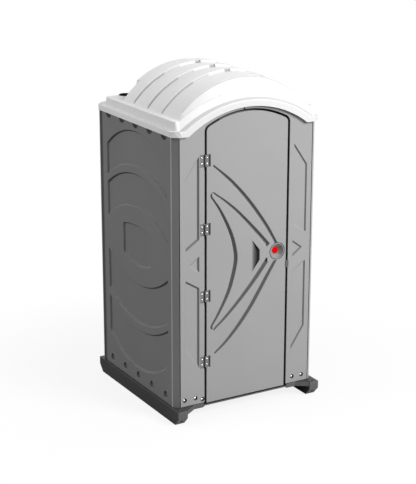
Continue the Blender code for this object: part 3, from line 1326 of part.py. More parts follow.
def make_seat():
    seat_pivot = pivot("seat_axis", SEAT_PIN)
    half_lug = LUG_WIDTH / 2
    mesh = bmesh.new()
    add_upright(mesh, seat_outline(), SEAT_LOW, SEAT_TOP)
    seat = piece("toilet_seat", mesh, BASE_BLACK, seat_pivot)
    lugs = bmesh.new()
    seat_lug_x = BRACKET_X + LUG_WIDTH + LUG_SPACING
    arm = SEAT_PIN_BEHIND + SEAT_EYE * 2
    low = SEAT_LOW - SEAT_PIN[2] + GAP
    high = SEAT_TOP - SEAT_PIN[2]
    outline = [(SEAT_PIN[1] + a, SEAT_PIN[2] + b) for a, b in eye_outline(arm, low, high)]
    for side in (-1, 1):
        add_along_x(lugs, outline, side * (seat_lug_x - half_lug), side * (seat_lug_x + half_lug))
    join(seat, lugs)
    holes = bmesh.new()
    front = TANK_FRONT_Y + SEAT_OPENING_SETBACK
    hole = oval(SEAT_OPENING_HALF, front, front + SEAT_OPENING_LENGTH, ROUND_SIDES)
    add_upright(holes, hole, SEAT_LOW - CUT, SEAT_TOP + CUT)
    bore = SEAT_PIN_RADIUS + SEAT_PIN_CLEARANCE
    reach = seat_lug_x + LUG_WIDTH
    add_rod(holes, SEAT_PIN, (1, 0, 0), bore, -reach, reach, PIN_SIDES)
    cut(seat, holes)

    lid_pivot = pivot("lid_axis", SEAT_PIN)
    pin = Vector(SEAT_PIN)
    turn = Matrix.Translation(pin) @ Matrix.Rotation(-LID_OPEN, 4, "X") @ Matrix.Translation(-pin)
    lid_low = SEAT_TOP + LID_GAP
    mesh = bmesh.new()
    add_upright(mesh, seat_outline(), lid_low, lid_low + LID_THICK)
    bmesh.ops.transform(mesh, matrix=turn, verts=mesh.verts)
    lid = piece("toilet_lid", mesh, BASE_BLACK, lid_pivot)
    lugs = bmesh.new()
    lid_lug_x = seat_lug_x + LUG_WIDTH + LUG_SPACING
    low = lid_low - SEAT_PIN[2] + GAP
    eye = eye_outline(arm, low, low + LID_THICK - GAP * 2)
    outline = [(SEAT_PIN[1] + a, SEAT_PIN[2] + b) for a, b in eye]
    for side in (-1, 1):
        add_along_x(lugs, outline, side * (lid_lug_x - half_lug), side * (lid_lug_x + half_lug))
    bmesh.ops.transform(lugs, matrix=turn, verts=lugs.verts)
    join(lid, lugs)
    bores = bmesh.new()
    for side in (-1, 1):
        add_rod(bores, SEAT_PIN, (side, 0, 0), bore, lid_lug_x - LUG_WIDTH, lid_lug_x + LUG_WIDTH, PIN_SIDES)
    cut(lid, bores)

    for name, side in (("seat_hinge_bracket_left", -1), ("seat_hinge_bracket_right", 1)):
        mesh = bmesh.new()
        add_box(mesh, (side * BRACKET_X - half_lug, SEAT_PIN[1] - SEAT_EYE, SEAT_LOW),
                (side * BRACKET_X + half_lug, SEAT_PIN[1] + SEAT_EYE, SEAT_PIN[2] + SEAT_EYE))
        bracket = piece(name, mesh, BASE_BLACK)
        hole = bmesh.new()
        add_rod(hole, SEAT_PIN, (side, 0, 0), bore, BRACKET_X - LUG_WIDTH, BRACKET_X + LUG_WIDTH, PIN_SIDES)
        cut(bracket, hole)
    mesh = bmesh.new()
    end = lid_lug_x + half_lug
    add_rod(mesh, SEAT_PIN, (1, 0, 0), SEAT_PIN_RADIUS, -end, end, PIN_SIDES)
    piece("seat_hinge_pin", mesh, STEEL, shade_round=True)


# Urinal


def make_urinal():
    wall = SIDE_X - FIELD_BACK - GAP
    low = BASE_Z + URINAL_LOW
    lip = low + URINAL_HEIGHT - URINAL_TOP_BACK
    top = low + URINAL_HEIGHT
    sheet = URINAL_SHEET

    def ring(reach, half, height, margin=0):
        """A level cut through the urinal; a margin moves it inwards for the hollow."""
        chamfer = min(half, reach) / 2
        back = wall - margin
        front = wall - reach + margin
        half -= margin
        return [(back, DRAIN_Y - half, height), (front + chamfer, DRAIN_Y - half, height),
                (front, DRAIN_Y - half + chamfer, height), (front, DRAIN_Y + half - chamfer, height),
                (front + chamfer, DRAIN_Y + half, height), (back, DRAIN_Y + half, height)]

    foot_reach = DRAIN_OUT + DRAIN_RADIUS * 2
    mesh = bmesh.new()
    add_stack(mesh, [ring(foot_reach, URINAL_HALF_WIDTH / 2, low), ring(URINAL_REACH, URINAL_HALF_WIDTH, lip),
                     ring(URINAL_TOP_BACK / 2, URINAL_HALF_WIDTH, top)])
    urinal = piece("urinal", mesh, BASE_BLACK)

    hollow = bmesh.new()
    add_stack(hollow, [ring(foot_reach, URINAL_HALF_WIDTH / 2, low + sheet, sheet),
                       ring(URINAL_REACH, URINAL_HALF_WIDTH, lip, sheet)])
    mouth = [(wall - sheet, lip - GAP), (wall - sheet, top - sheet), (wall - URINAL_REACH - CUT, top - sheet),
             (wall - URINAL_REACH - CUT, lip - GAP)]
    cut(urinal, hollow)
    opening = bmesh.new()
    half = URINAL_HALF_WIDTH - sheet
    add_along_y(opening, mouth, DRAIN_Y - half, DRAIN_Y + half)
    add_rod(opening, (DRAIN_X, DRAIN_Y, low), (0, 0, 1), DRAIN_RADIUS + GAP, -CUT, sheet + CUT, PIN_SIDES)
    cut(urinal, opening)
    mesh = bmesh.new()
    add_tube(mesh, (DRAIN_X, DRAIN_Y, 0), (0, 0, 1), DRAIN_RADIUS - DRAIN_SHEET, DRAIN_RADIUS,
             TANK_TOP - TANK_SHEET, low + sheet, PIN_SIDES)
    piece("urinal_drain_pipe", mesh, BASE_BLACK, shade_round=True)


# Paper holder


def make_paper():
    wall = FIELD_BACK + GAP - SIDE_X
    y = REAR_Y - PAPER_BACK
    z = BASE_Z + PAPER_HEIGHT
    axis_x = wall + SPINDLE_OUT
    arm_inner = PAPER_LENGTH / 2 + HOLDER_ARM_GAP
    arm_outer = arm_inner + HOLDER_SHEET
    half = HOLDER_HALF_HEIGHT
    plan = [(wall, y - arm_outer), (wall + HOLDER_REACH, y - arm_outer), (wall + HOLDER_REACH, y - arm_inner),
            (wall + HOLDER_SHEET, y - arm_inner), (wall + HOLDER_SHEET, y + arm_inner),
            (wall + HOLDER_REACH, y + arm_inner), (wall + HOLDER_REACH, y + arm_outer), (wall, y + arm_outer)]
    mesh = bmesh.new()
    add_upright(mesh, plan, z - half, z + half)
    holder = piece("paper_holder", mesh, INNER_GREY)
    bores = bmesh.new()
    centre = (axis_x, y, z)
    bore_end = arm_outer + CUT
    add_rod(bores, centre, (0, 1, 0), PAPER_SPINDLE_RADIUS + GAP, -bore_end, bore_end, PIN_SIDES)
    cut(holder, bores)

    head = arm_outer + GAP
    end = head + PAPER_SPINDLE_HEAD_THICK
    profile = [(0, -end), (PAPER_SPINDLE_HEAD, -end), (PAPER_SPINDLE_HEAD, -head),
               (PAPER_SPINDLE_RADIUS, -head),
               (PAPER_SPINDLE_RADIUS, end), (0, end)]
    mesh = bmesh.new()
    add_turned(mesh, profile, centre, (0, 1, 0), PIN_SIDES)
    piece("paper_spindle", mesh, INNER_GREY, shade_round=True)

    roll_z = z - (PAPER_CORE - PAPER_SPINDLE_RADIUS - GAP)
    roll_centre = (axis_x, y, roll_z)
    roll_pivot = pivot("paper_axis", roll_centre)
    half_roll = PAPER_LENGTH / 2
    mesh = bmesh.new()
    bore = PAPER_CORE + PAPER_CORE_SHEET + GAP
    add_tube(mesh, roll_centre, (0, 1, 0), bore, PAPER_RADIUS, -half_roll, half_roll,
             ROUND_SIDES)
    piece("paper_roll", mesh, PAPER_WHITE, roll_pivot, shade_round=True)
    mesh = bmesh.new()
    add_tube(mesh, roll_centre, (0, 1, 0), PAPER_CORE, PAPER_CORE + PAPER_CORE_SHEET, -half_roll, half_roll,
             ROUND_SIDES)
    piece("paper_core", mesh, INNER_GREY, roll_pivot, shade_round=True)


make_skid("skid_left", -1)
make_skid("skid_right", 1)
make_beams()
make_floor()
make_post("front_left_post", -1, -1, POST_LAP)
make_post("front_right_post", 1, -1, POST_LAP)
make_post("rear_left_post", -1, 1, REAR_SEAM + POST_LAP)
make_post("rear_right_post", 1, 1, REAR_SEAM + POST_LAP)
make_walls()
make_front_panel("front_panel_left", -1)
make_front_panel("front_panel_right", 1)
for bolt_number, bolt_place in enumerate(front_bolt_places(), 1):
    make_front_bolt(bolt_number, *bolt_place)
make_door()
make_edge_lug()
for hinge_number, hinge_height in enumerate(HINGE_HEIGHTS, 1):
    make_hinge(hinge_number, hinge_height)
make_lock()
make_roof()
make_vent_pipe()
make_tank()
make_seat()
make_urinal()
make_paper()
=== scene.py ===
"""Looks of the dry toilet cabin: shaped pieces, materials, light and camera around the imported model."""

import json
import math

import bmesh
import bpy
import numpy as np
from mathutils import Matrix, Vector
from mathutils.geometry import delaunay_2d_cdt

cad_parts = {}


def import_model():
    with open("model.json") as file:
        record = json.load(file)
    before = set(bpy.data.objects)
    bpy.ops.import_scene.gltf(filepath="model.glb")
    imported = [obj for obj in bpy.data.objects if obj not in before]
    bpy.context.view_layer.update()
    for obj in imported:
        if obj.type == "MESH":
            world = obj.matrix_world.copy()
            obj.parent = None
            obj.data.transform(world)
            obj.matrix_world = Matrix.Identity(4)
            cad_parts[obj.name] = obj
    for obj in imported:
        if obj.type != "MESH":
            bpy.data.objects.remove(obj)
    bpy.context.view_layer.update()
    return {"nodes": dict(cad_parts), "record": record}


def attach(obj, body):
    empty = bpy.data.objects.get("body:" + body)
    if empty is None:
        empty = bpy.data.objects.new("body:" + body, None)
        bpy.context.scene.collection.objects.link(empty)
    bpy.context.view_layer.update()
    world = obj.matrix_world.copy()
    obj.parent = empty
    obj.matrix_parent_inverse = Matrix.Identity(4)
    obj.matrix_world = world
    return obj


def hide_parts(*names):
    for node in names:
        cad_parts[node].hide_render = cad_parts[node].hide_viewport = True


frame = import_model()
nodes = frame["nodes"]

# Sizes shared with the solids, in metres

CABIN_WIDTH = 1.140
CABIN_DEPTH = 1.151
WALL_HEIGHT = 1.9587
BASE_Z = 0.1103
SHIFT_Y = 0.02725
FRONT_Y = SHIFT_Y - CABIN_DEPTH / 2
REAR_Y = SHIFT_Y + CABIN_DEPTH / 2
SIDE_X = CABIN_WIDTH / 2
CHAMFER = 0.038
POST_LAND = 0.0135
POST_FACE = 0.003
POST_LAP = 0.026
REAR_SEAM = 0.035
SHEET = 0.006
GAP = 0.0003
OPENING_X = 0.003
GAP_HALF = 0.331
GAP_CROWN = 2.055
GAP_ARCH = 0.657
GAP_FILLET = 0.045
GAP_SIDE = 0.005
FRONT_SEAM_X = -0.027
HEADER_CROWN = 2.128
HEADER_DROP = 0.003
HEADER_HALF_SPAN = 0.500
JAMB_DEPTH = 0.040
JAMB_SHEET = 0.006
STOP_WIDTH = 0.033
STOP_SHEET = 0.008
DOOR_THICK = 0.030
DOOR_SKIN = 0.007
DOOR_DROP = 0.0075
HINGE_X = -0.3325
HINGE_HEIGHTS = (0.302, 0.783, 1.2625, 1.742)
HINGE_HALF = 0.040
HINGE_POCKET = 0.008
HINGE_LEAF = 0.0025
HINGE_KNUCKLE = 0.005
HINGE_MIDDLE_HALF = 0.016
HINGE_AXIS_DEPTH = HINGE_POCKET - GAP - HINGE_KNUCKLE
FRAME_LEAF_REACH = 0.036
DOOR_LEAF_REACH = 0.032
POCKET_MARGIN = 0.003
POCKET_SLOPE = 0.012
LOCK_X = 0.252
LOCK_HEIGHT = 1.022
LOCK_HOLE = 0.0625
BOLT_PLACES = ((-0.495, 0.046), (-0.409, 0.046), (-0.353, 0.027), (0.397, 0.046), (0.478, 0.046))
RIVET_INSET = 0.0185
RIVET_SPREAD = 0.020
PIPE_X, PIPE_Y = -0.430, 0.41725
PIPE_RADIUS = 0.047
DECK = 2.027

WALL_FIELD_SHARES = (
    ((0.868, 0.953, 0.8665), (0.7535, 0.824, 0.7475)),
    ((0.727, 0.7975, 0.721), (0.594, 0.673, 0.592)),
    ((0.469, 0.388, 0.469), (0.308, 0.237, 0.310)),
    ((0.282, 0.2115, 0.2845), (0.146, 0.0567, 0.137)),
)
FIELD_LEFT_SHARE = -0.418
FIELD_RIGHT_SHARE = 0.368
FIELD_PEAK_SHARE = -0.040
EYE_FIELD_SHARES = (
    ((-0.199, 0.596), (-0.027, 0.608), (0.160, 0.594)),
    ((-0.199, 0.478), (-0.033, 0.456), (0.160, 0.480)),
)
FRONT_FIELD_SHARES = (
    ((0.3307, 0.9134), (0.4307, 0.8286), (0.4307, 0.5744), (0.3307, 0.6116)),
    ((0.3307, 0.5545), (0.4057, 0.5218), (0.3307, 0.4896)),
    ((0.3307, 0.4365), (0.4307, 0.4723), (0.4307, 0.2170), (0.3307, 0.1307)),
)
HANDLE_SHARES = ((0.124, 0.552), (0.318, 0.5135), (0.318, 0.477), (0.124, 0.4375))

# Plane geometry


def arc(centre, radius, start, end, steps):
    angles = np.linspace(start, end, steps + 1)
    return np.column_stack((centre[0] + radius * np.cos(angles), centre[1] + radius * np.sin(angles)))


def arc_through(first, middle, last, steps):
    (ax, ay), (bx, by), (cx, cy) = first, middle, last
    scale = 2 * (ax * (by - cy) + bx * (cy - ay) + cx * (ay - by))
    a2, b2, c2 = ax * ax + ay * ay, bx * bx + by * by, cx * cx + cy * cy
    ux = (a2 * (by - cy) + b2 * (cy - ay) + c2 * (ay - by)) / scale
    uy = (a2 * (cx - bx) + b2 * (ax - cx) + c2 * (bx - ax)) / scale
    start = math.atan2(ay - uy, ax - ux)
    through = math.remainder(math.atan2(by - uy, bx - ux) - start, math.tau)
    sweep = math.remainder(math.atan2(cy - uy, cx - ux) - start, math.tau)
    if sweep * through < 0:
        sweep += math.copysign(math.tau, through)
    return arc((ux, uy), math.hypot(ax - ux, ay - uy), start, start + sweep, steps)


def bulge(x, crown, half_span, flat):
    """Height at x of an arch that rises from a flat level to a crown."""
    if abs(x) >= half_span:
        return flat
    rise = crown - flat
    radius = (half_span ** 2 + rise ** 2) / (2 * rise)
    return crown - radius + math.sqrt(radius ** 2 - x ** 2)


def rounded(points, radius, steps=5):
    """The closed outline with each clear corner rounded off."""
    points = [Vector(p) for p in points]
    out = []
    for i, corner in enumerate(points):
        before = points[i - 1] - corner
        after = points[(i + 1) % len(points)] - corner
        turn = math.pi - before.angle(after)
        if turn < math.radians(18):
            out.append(corner)
            continue
        reach = min(radius * math.tan(turn / 2), before.length * 0.45, after.length * 0.45)
        start = corner + before.normalized() * reach
        end = corner + after.normalized() * reach
        for k in range(steps + 1):
            t = k / steps
            out.append(start * (1 - t) ** 2 + corner * 2 * t * (1 - t) + end * t ** 2)
    return np.array([tuple(p) for p in out])


def resample(line, spacing, closed=False):
    """Points at even spacing along a line."""
    line = np.asarray(line, float)
    if closed:
        line = np.vstack((line, line[:1]))
    steps = np.hypot(*np.diff(line, axis=0).T)
    along = np.concatenate(([0], np.cumsum(steps)))
    count = max(2, int(math.ceil(along[-1] / spacing)) + 1)
    at = np.linspace(0, along[-1], count)
    if closed:
        at = at[:-1]
    return np.column_stack((np.interp(at, along, line[:, 0]), np.interp(at, along, line[:, 1])))


def keep_corners(points, spacing):
    """The closed outline with its corners kept and its long sides divided."""
    out = []
    for a, b in zip(np.asarray(points, float), np.roll(points, -1, axis=0)):
        steps = max(1, int(math.ceil(np.hypot(*(b - a)) / spacing)))
        out += [a + (b - a) * k / steps for k in range(steps)]
    return np.array(out)


def inset(loop, distance):
    """The closed outline moved inwards; a negative distance moves it outwards."""
    loop = np.asarray(loop, float)
    x, y = loop.T
    sign = math.copysign(1, float(np.sum(x * np.roll(y, -1) - np.roll(x, -1) * y)))

    def left(v):
        v = v / np.maximum(np.hypot(v[:, 0], v[:, 1]), 1e-12)[:, None]
        return np.column_stack((-v[:, 1], v[:, 0]))

    a, b = left(loop - np.roll(loop, 1, axis=0)), left(np.roll(loop, -1, axis=0) - loop)
    dot = np.maximum(np.sum(a * b, axis=1), -0.5)
    miter = (a + b) / (1 + dot)[:, None]
    return loop + miter * distance * sign


def nearest(points, line, closed=True):
    """For each point: distance to a line, the nearest run of it and the share reached along that run."""
    points, line = np.asarray(points, float), np.asarray(line, float)
    best = np.full(len(points), 1e9)
    index = np.zeros(len(points), int)
    share = np.zeros(len(points))
    for i, (a, b) in enumerate(zip(line, np.roll(line, -1, axis=0) if closed else line[1:])):
        run = b - a
        length2 = float(run @ run)
        if length2 < 1e-16:
            continue
        raw = ((points - a) @ run) / length2
        near = a + np.clip(raw, 0, 1)[:, None] * run
        far = np.hypot(*(points - near).T)
        closer = np.flatnonzero(far < best)
        best[closer], index[closer], share[closer] = far[closer], i, raw[closer]
    return best, index, share


def inside(points, loop):
    x, y = np.asarray(points, float).T
    loop = np.asarray(loop, float)
    result = np.zeros(len(x), bool)
    for (x0, y0), (x1, y1) in zip(loop, np.roll(loop, -1, axis=0)):
        crosses = (y0 > y) != (y1 > y)
        with np.errstate(divide="ignore", invalid="ignore"):
            at = (x1 - x0) * (y - y0) / (y1 - y0) + x0
        result ^= crosses & (x < at)
    return result


def signed(points, loop):
    """Distance to the outline, positive inside it."""
    far = nearest(points, loop)[0]
    return np.where(inside(points, loop), far, -far)


def ramp(t, share=0.3):
    """0 to 1 with rounded ends and a straight middle."""
    t = np.clip(t, 0, 1)
    low = t * t / (2 * share * (1 - share))
    high = 1 - (1 - t) ** 2 / (2 * share * (1 - share))
    middle = (t - share / 2) / (1 - share)
    return np.where(t < share, low, np.where(t > 1 - share, high, middle))


def edge_round(distance, radius):
    """Extra depth of a rounded edge at a distance inside the outline."""
    e = np.clip(distance, 0, radius)
    return radius - np.sqrt(np.maximum(radius ** 2 - (radius - e) ** 2, 0))


# Meshes


def linked(name, data):
    made = bpy.data.objects.new(name, data)
    bpy.context.scene.collection.objects.link(made)
    return made


def new_object(name, verts, faces, smooth_angle=None, materials=()):
    data = bpy.data.meshes.new(name)
    data.from_pydata([tuple(v) for v in verts], [], [tuple(f) for f in faces])
    data.validate()
    data.update()
    made = linked(name, data)
    mesh = bmesh.new()
    mesh.from_mesh(data)
    bmesh.ops.remove_doubles(mesh, verts=mesh.verts, dist=1e-6)
    bmesh.ops.recalc_face_normals(mesh, faces=mesh.faces)
    mesh.to_mesh(data)
    mesh.free()
    if smooth_angle:
        data.shade_smooth()
        data.set_sharp_from_angle(angle=math.radians(smooth_angle))
    for material in materials:
        data.materials.append(material)
    return made


def weigh_normals(made):
    step = made.modifiers.new("even_normals", "WEIGHTED_NORMAL")
    step.keep_sharp = True
    step.weight = 100
    step.mode = "FACE_AREA_WITH_ANGLE"


def bevelled(made, width, segments=3, angle=30):
    step = made.modifiers.new("rounded_edges", "BEVEL")
    step.width = width
    step.segments = segments
    step.limit_method = "ANGLE"
    step.angle_limit = math.radians(angle)
    weigh_normals(made)


class Sheet:
    """A flat sheet triangulated along feature lines, then raised into relief."""

    def __init__(self, outline):
        self.outline = np.asarray(outline, float)
        self.lines = []
        self.holes = []
        self.add_line(self.outline, True)

    def add_line(self, points, closed=False):
        self.lines.append((np.asarray(points, float), closed))

    def add_rings(self, loop, distances):
        """Closed feature lines at distances inwards from a loop."""
        for distance in distances:
            self.add_line(inset(loop, distance) if distance else loop, True)

    def add_rounds(self, centre, size, shares, sides):
        """Rounds or ovals about a centre, at shares of their full size."""
        for share in shares:
            self.add_line(arc((0, 0), share, 0, math.tau, sides)[:-1] * size + centre, True)

    def triangles(self, spacing):
        """Flat points and triangles along the feature lines, with a loose grid between them."""
        points, edges = [], []
        for line, closed in self.lines:
            base = len(points)
            points += [tuple(p) for p in line]
            count = len(line)
            edges += [(base + i, base + i + 1) for i in range(count - 1)]
            if closed:
                edges.append((base + count - 1, base))
        low, high = self.outline.min(0), self.outline.max(0)
        grid = np.array([(u, v) for u in np.arange(low[0] + spacing / 2, high[0], spacing)
                         for v in np.arange(low[1] + spacing / 2, high[1], spacing)])
        grid = grid[inside(grid, self.outline)]
        taken = np.array(points)
        clear = np.full(len(grid), True)
        for i in range(0, len(taken), 400):
            apart = grid[:, None] - taken[None, i:i + 400]
            clear &= np.hypot(apart[..., 0], apart[..., 1]).min(1) > spacing * 0.45
        points += [tuple(p) for p in grid[clear]]
        out = delaunay_2d_cdt([Vector(p) for p in points], edges, [], 1, 1e-6, False)
        flat = np.array([tuple(v) for v in out[0]])
        faces = np.array([tuple(f) for f in out[2] if len(f) == 3])
        middles = flat[faces].mean(1)
        keep = inside(middles, self.outline)
        for hole in self.holes:
            keep &= ~inside(middles, hole)
        used, faces = np.unique(faces[keep], return_inverse=True)
        return flat[used], faces.reshape(-1, 3)

    def build(self, spacing, front, back, place, name, material):
        """front and back give depths for an array of points; place turns (u, v, depth) into the world."""
        flat, faces = self.triangles(spacing)
        near, far = front(flat), back(flat)
        far = np.maximum(far, near + 0.0012)
        verts = [place(u, v, d) for depths in (near, far) for (u, v), d in zip(flat, depths)]
        count = len(flat)
        seen = {edge: True for a, b, c in faces for edge in ((a, b), (b, c), (c, a))}
        rim = [(a, b) for a, b in seen if (b, a) not in seen]
        all_faces = [tuple(int(k) for k in f) for f in faces]
        all_faces += [tuple(int(k) + count for k in f[::-1]) for f in faces]
        all_faces += [(int(b), int(a), int(a) + count, int(b) + count) for a, b in rim]
        return new_object(name, verts, all_faces, 40, [material])


def turned(name, profile, centre, axis, sides, material, smooth_angle=50):
    """Turn a profile of (radius, distance along the axis) points; a zero radius closes an end."""
    tilt = Vector(axis).to_track_quat("Z", "Y")
    verts, rings = [], []
    for radius, along in profile:
        count = sides if radius > 1e-9 else 1
        rings.append(range(len(verts), len(verts) + count))
        for i in range(count):
            a = math.tau * i / sides
            point = tilt @ Vector((radius * math.cos(a), radius * math.sin(a), along))
            verts.append(Vector(centre) + point)
    pairs = list(zip(rings, rings[1:]))
    if profile[0][0] and profile[-1][0]:
        pairs.append((rings[-1], rings[0]))
    faces = []
    for low, high in pairs:
        for i in range(sides):
            j = (i + 1) % sides
            corners = (low[i % len(low)], low[j % len(low)], high[j % len(high)], high[i % len(high)])
            faces.append(tuple(dict.fromkeys(corners)))
    return new_object(name, verts, faces, smooth_angle, [material])


def joined(name, parts):
    """Several objects as one, with their own material slots."""
    slots, verts, faces, marks = [], [], [], []
    for part in parts:
        base = len(verts)
        verts += [part.matrix_world @ v.co for v in part.data.vertices]
        for polygon in part.data.polygons:
            faces.append(tuple(base + i for i in polygon.vertices))
            material = part.data.materials[polygon.material_index]
            if material not in slots:
                slots.append(material)
            marks.append(slots.index(material))
        bpy.data.objects.remove(part)
    data = bpy.data.meshes.new(name)
    data.from_pydata([tuple(v) for v in verts], [], faces)
    data.update()
    for material in slots:
        data.materials.append(material)
    data.polygons.foreach_set("material_index", marks)
    mesh = bmesh.new()
    mesh.from_mesh(data)
    bmesh.ops.recalc_face_normals(mesh, faces=mesh.faces)
    mesh.to_mesh(data)
    mesh.free()
    data.shade_smooth()
    data.set_sharp_from_angle(angle=math.radians(35))
    return linked(name, data)


def prism(name, outline, place, low, high, material, smooth_angle=30):
    """An outline of (u, v) points drawn out between two depths."""
    count = len(outline)
    verts = [place(u, v, depth) for depth in (low, high) for u, v in outline]
    faces = [tuple(range(count))[::-1], tuple(range(count, 2 * count))]
    faces += [(i, (i + 1) % count, (i + 1) % count + count, i + count) for i in range(count)]
    return new_object(name, verts, faces, smooth_angle, [material])


# Materials


def build_tree(tree, parts, links):
    """Add nodes, by name, of (type, values), and links of (node, output, node, input)."""
    for name, (kind, values) in parts.items():
        node = tree.nodes.new("ShaderNode" + kind)
        node.name = name
        for key, value in values.items():
            if isinstance(key, int) or key in node.inputs:
                node.inputs[key].default_value = value
            else:
                setattr(node, key, value)
    for source, output, target, into in links:
        tree.links.new(tree.nodes[source].outputs[output], tree.nodes[target].inputs[into])


def spread(low, high):
    """A node that widens the middle of a noise to a range of values."""
    return "MapRange", {"From Min": 0.3, "From Max": 0.7, "To Min": low, "To Max": high}


def moulded(name, colour, roughness=0.45, grain=0.15, fleck=0.03, specular=0.5, bump=0.0004, metallic=0):
    """Moulded plastic: fine leather-like grain, slight unevenness of colour and gloss."""
    made = bpy.data.materials.new(name)
    made.use_nodes = True
    shader = "Principled BSDF"
    inputs = made.node_tree.nodes[shader].inputs
    inputs["Specular IOR Level"].default_value = specular
    inputs["Metallic"].default_value = metallic
    tint = colour if isinstance(colour, tuple) else (colour, colour, colour)
    build_tree(made.node_tree, {
        "place": ("TexCoord", {}),
        "fine": ("TexNoise", {"Scale": 380, "Detail": 3, "Roughness": 0.6}),
        "broad": ("TexNoise", {"Scale": 2.3, "Detail": 5, "Roughness": 0.55}),
        "speck": spread(1 - fleck, 1 + fleck),
        "cloud": spread(1 - fleck * 0.7, 1 + fleck * 0.7),
        "both": ("Math", {"operation": "MULTIPLY"}),
        "tint": ("VectorMath", {"operation": "SCALE", 0: tint}),
        "gloss": spread(roughness - 0.05, roughness + 0.05),
        "relief": ("Bump", {"Strength": grain, "Distance": bump}),
    }, (
        ("place", "Object", "fine", "Vector"), ("place", "Object", "broad", "Vector"),
        ("fine", "Fac", "speck", "Value"), ("broad", "Fac", "cloud", "Value"),
        ("speck", "Result", "both", 0), ("cloud", "Result", "both", 1),
        ("both", "Value", "tint", "Scale"), ("tint", "Vector", shader, "Base Color"),
        ("broad", "Fac", "gloss", "Value"), ("gloss", "Result", shader, "Roughness"),
        ("fine", "Fac", "relief", "Height"), ("relief", "Normal", shader, "Normal"),
    ))
    return made


ROOF_LOOK = {"grain": 0.08, "fleck": 0.008}
BASE_LOOK = {"fleck": 0.08, "specular": 0.45}
# The side plastic is darker than the front partly as its own darker grey and partly as painted shade of the
# unlit side.
SIDE_GREY = moulded("side_plastic", 0.180, 0.50, specular=0.3)
FRONT_GREY = moulded("front_plastic", 0.390, 0.50, specular=0.3)
# Painted shade: near black for the seams at the posts and along the left front panel's outer edge.
SEAM_SHADE = moulded("seam_painted_shade", 0.085, 0.6, specular=0.2)
# Painted shade: near black for the door frame seen in the gap and for the seam notch.
JAMB_SHADE = moulded("jamb_painted_shade", 0.045, 0.7, specular=0.1)
ROOF_WHITE = moulded("roof_plastic", 0.80, 0.42, specular=0.3, **ROOF_LOOK)
BASE_BLACK = moulded("base_plastic", (0.036, 0.036, 0.037), 0.45, **BASE_LOOK)
PIPE_BLACK = moulded("pipe_plastic", 0.012, 0.5, fleck=0.08, specular=0.3)
INNER_GREY = moulded("holder_plastic", (0.20, 0.21, 0.22), 0.42)
SIGNAL_RED = moulded("signal_plastic", (0.98, 0.0, 0.0), 0.5, grain=0.02, fleck=0.01, specular=0.0)
PAPER = moulded("tissue", (0.80, 0.80, 0.78), 0.95, grain=0.5, fleck=0.02, specular=0.1, bump=0.001)
STEEL = moulded("zinc_steel", 0.80, 0.25, grain=0.05, fleck=0.04, metallic=1)
RIVET = moulded("rivet_aluminium", 0.92, 0.30, grain=0.05, fleck=0.04, metallic=1)
FRONT_SHADE = moulded("front_recess", 0.150, 0.65, specular=0.1)
SIDE_SHADE = moulded("side_recess", 0.095, 0.65, specular=0.1)
# Painted shade, lighter tone: the lock bowl, the ramps beside the groove walls and the left edge of the
# handle recess.
SOFT_SHADE = moulded("soft_painted_shade", 0.300, 0.6, specular=0.1)
# Grey of the hinge leaves, also laid as painted shade in the handle recess.
HINGE_GREY_AND_SHADE = moulded("hinge_plastic_and_painted_shade", 0.230, 0.6, specular=0.1)
# Dark grey of the hinge barrels, also laid as painted shade in the bolt dishes and the handle recess.
BARREL_GREY_AND_SHADE = moulded("barrel_plastic_and_painted_shade", 0.070, 0.6, specular=0.1)
# Painted light: a lighter black for faces of the base that look to the front.
BASE_FRONT_LIGHT = moulded("base_plastic_painted_front_light", (0.125, 0.125, 0.126), 0.55, **BASE_LOOK)
# Painted highlight: a pale grey on the skids' slanted faces that look front and down.
BASE_SLANT_HIGHLIGHT = moulded("base_plastic_painted_highlight", 0.250, 0.55, **BASE_LOOK)
# Painted shade: a darker grey on the left front post's chamfer.
POST_SHADE = moulded("post_painted_shade", 0.190, 0.40)
# Painted highlight: a pale grey on the right front post's chamfer.
POST_HIGHLIGHT = moulded("post_painted_highlight", 0.560, 0.40)
# Painted shade that tones down the light on the front panels' lit field slopes.
PANEL_SLOPE_SHADE = moulded("panel_slope_painted_shade", 0.335, 0.55, specular=0.2)
PANEL_SHADE = moulded("panel_recess", 0.210, 0.65, specular=0.1)
SLOT_SHADE = moulded("roof_recess", 0.400, 0.6, specular=0.1)
ROOF_SHADE = moulded("roof_ledge", 0.600, 0.5, specular=0.2, **ROOF_LOOK)
RIB_SHADE = moulded("roof_rib_foot", 0.420, 0.5, specular=0.2, **ROOF_LOOK)


def shade_faces(made, material, chosen):
    """Give the faces that a test picks, from their middle and normal, a second material."""
    made.data.materials.append(material)
    index = len(made.data.materials) - 1
    for polygon in made.data.polygons:
        if chosen(polygon.center, polygon.normal):
            polygon.material_index = index


# Side and rear panels

FIELD_DEPTH = 0.013
FIELD_SLOPE = 0.011
FIELD_CORNER = 0.014
SLOPE_RINGS = (-0.08, 0.0, 0.15, 0.3, 0.5, 0.7, 0.85, 1.0, 1.08)
WALL_EDGE = 0.003
DIMPLE_FIRST = -0.4351
DIMPLE_PITCH = 0.2063
DIMPLE_DEPTH = 0.017
DIMPLE_RINGS = (1.06, 1.0, 0.93, 0.85, 0.77, 0.7, 0.5, 0.25)
LOW_DIMPLE = (0.057, (0.026, 0.026 * 1.18))
HIGH_DIMPLE = (WALL_HEIGHT - 0.0377, (0.045, 0.036))


def wall_fields(width):
    def bounded(upper, lower, steps):
        over, under = (arc_through(*[(a * width, b * WALL_HEIGHT) for a, b in line], steps)
                       for line in (upper, lower))
        return rounded(np.vstack((over, under[::-1])), FIELD_CORNER)

    sideways = (FIELD_LEFT_SHARE, FIELD_PEAK_SHARE, FIELD_RIGHT_SHARE)
    fields = [bounded(zip(sideways, upper), zip(sideways, lower), 48) for upper, lower in WALL_FIELD_SHARES]
    return fields + [bounded(*EYE_FIELD_SHARES, 24)]


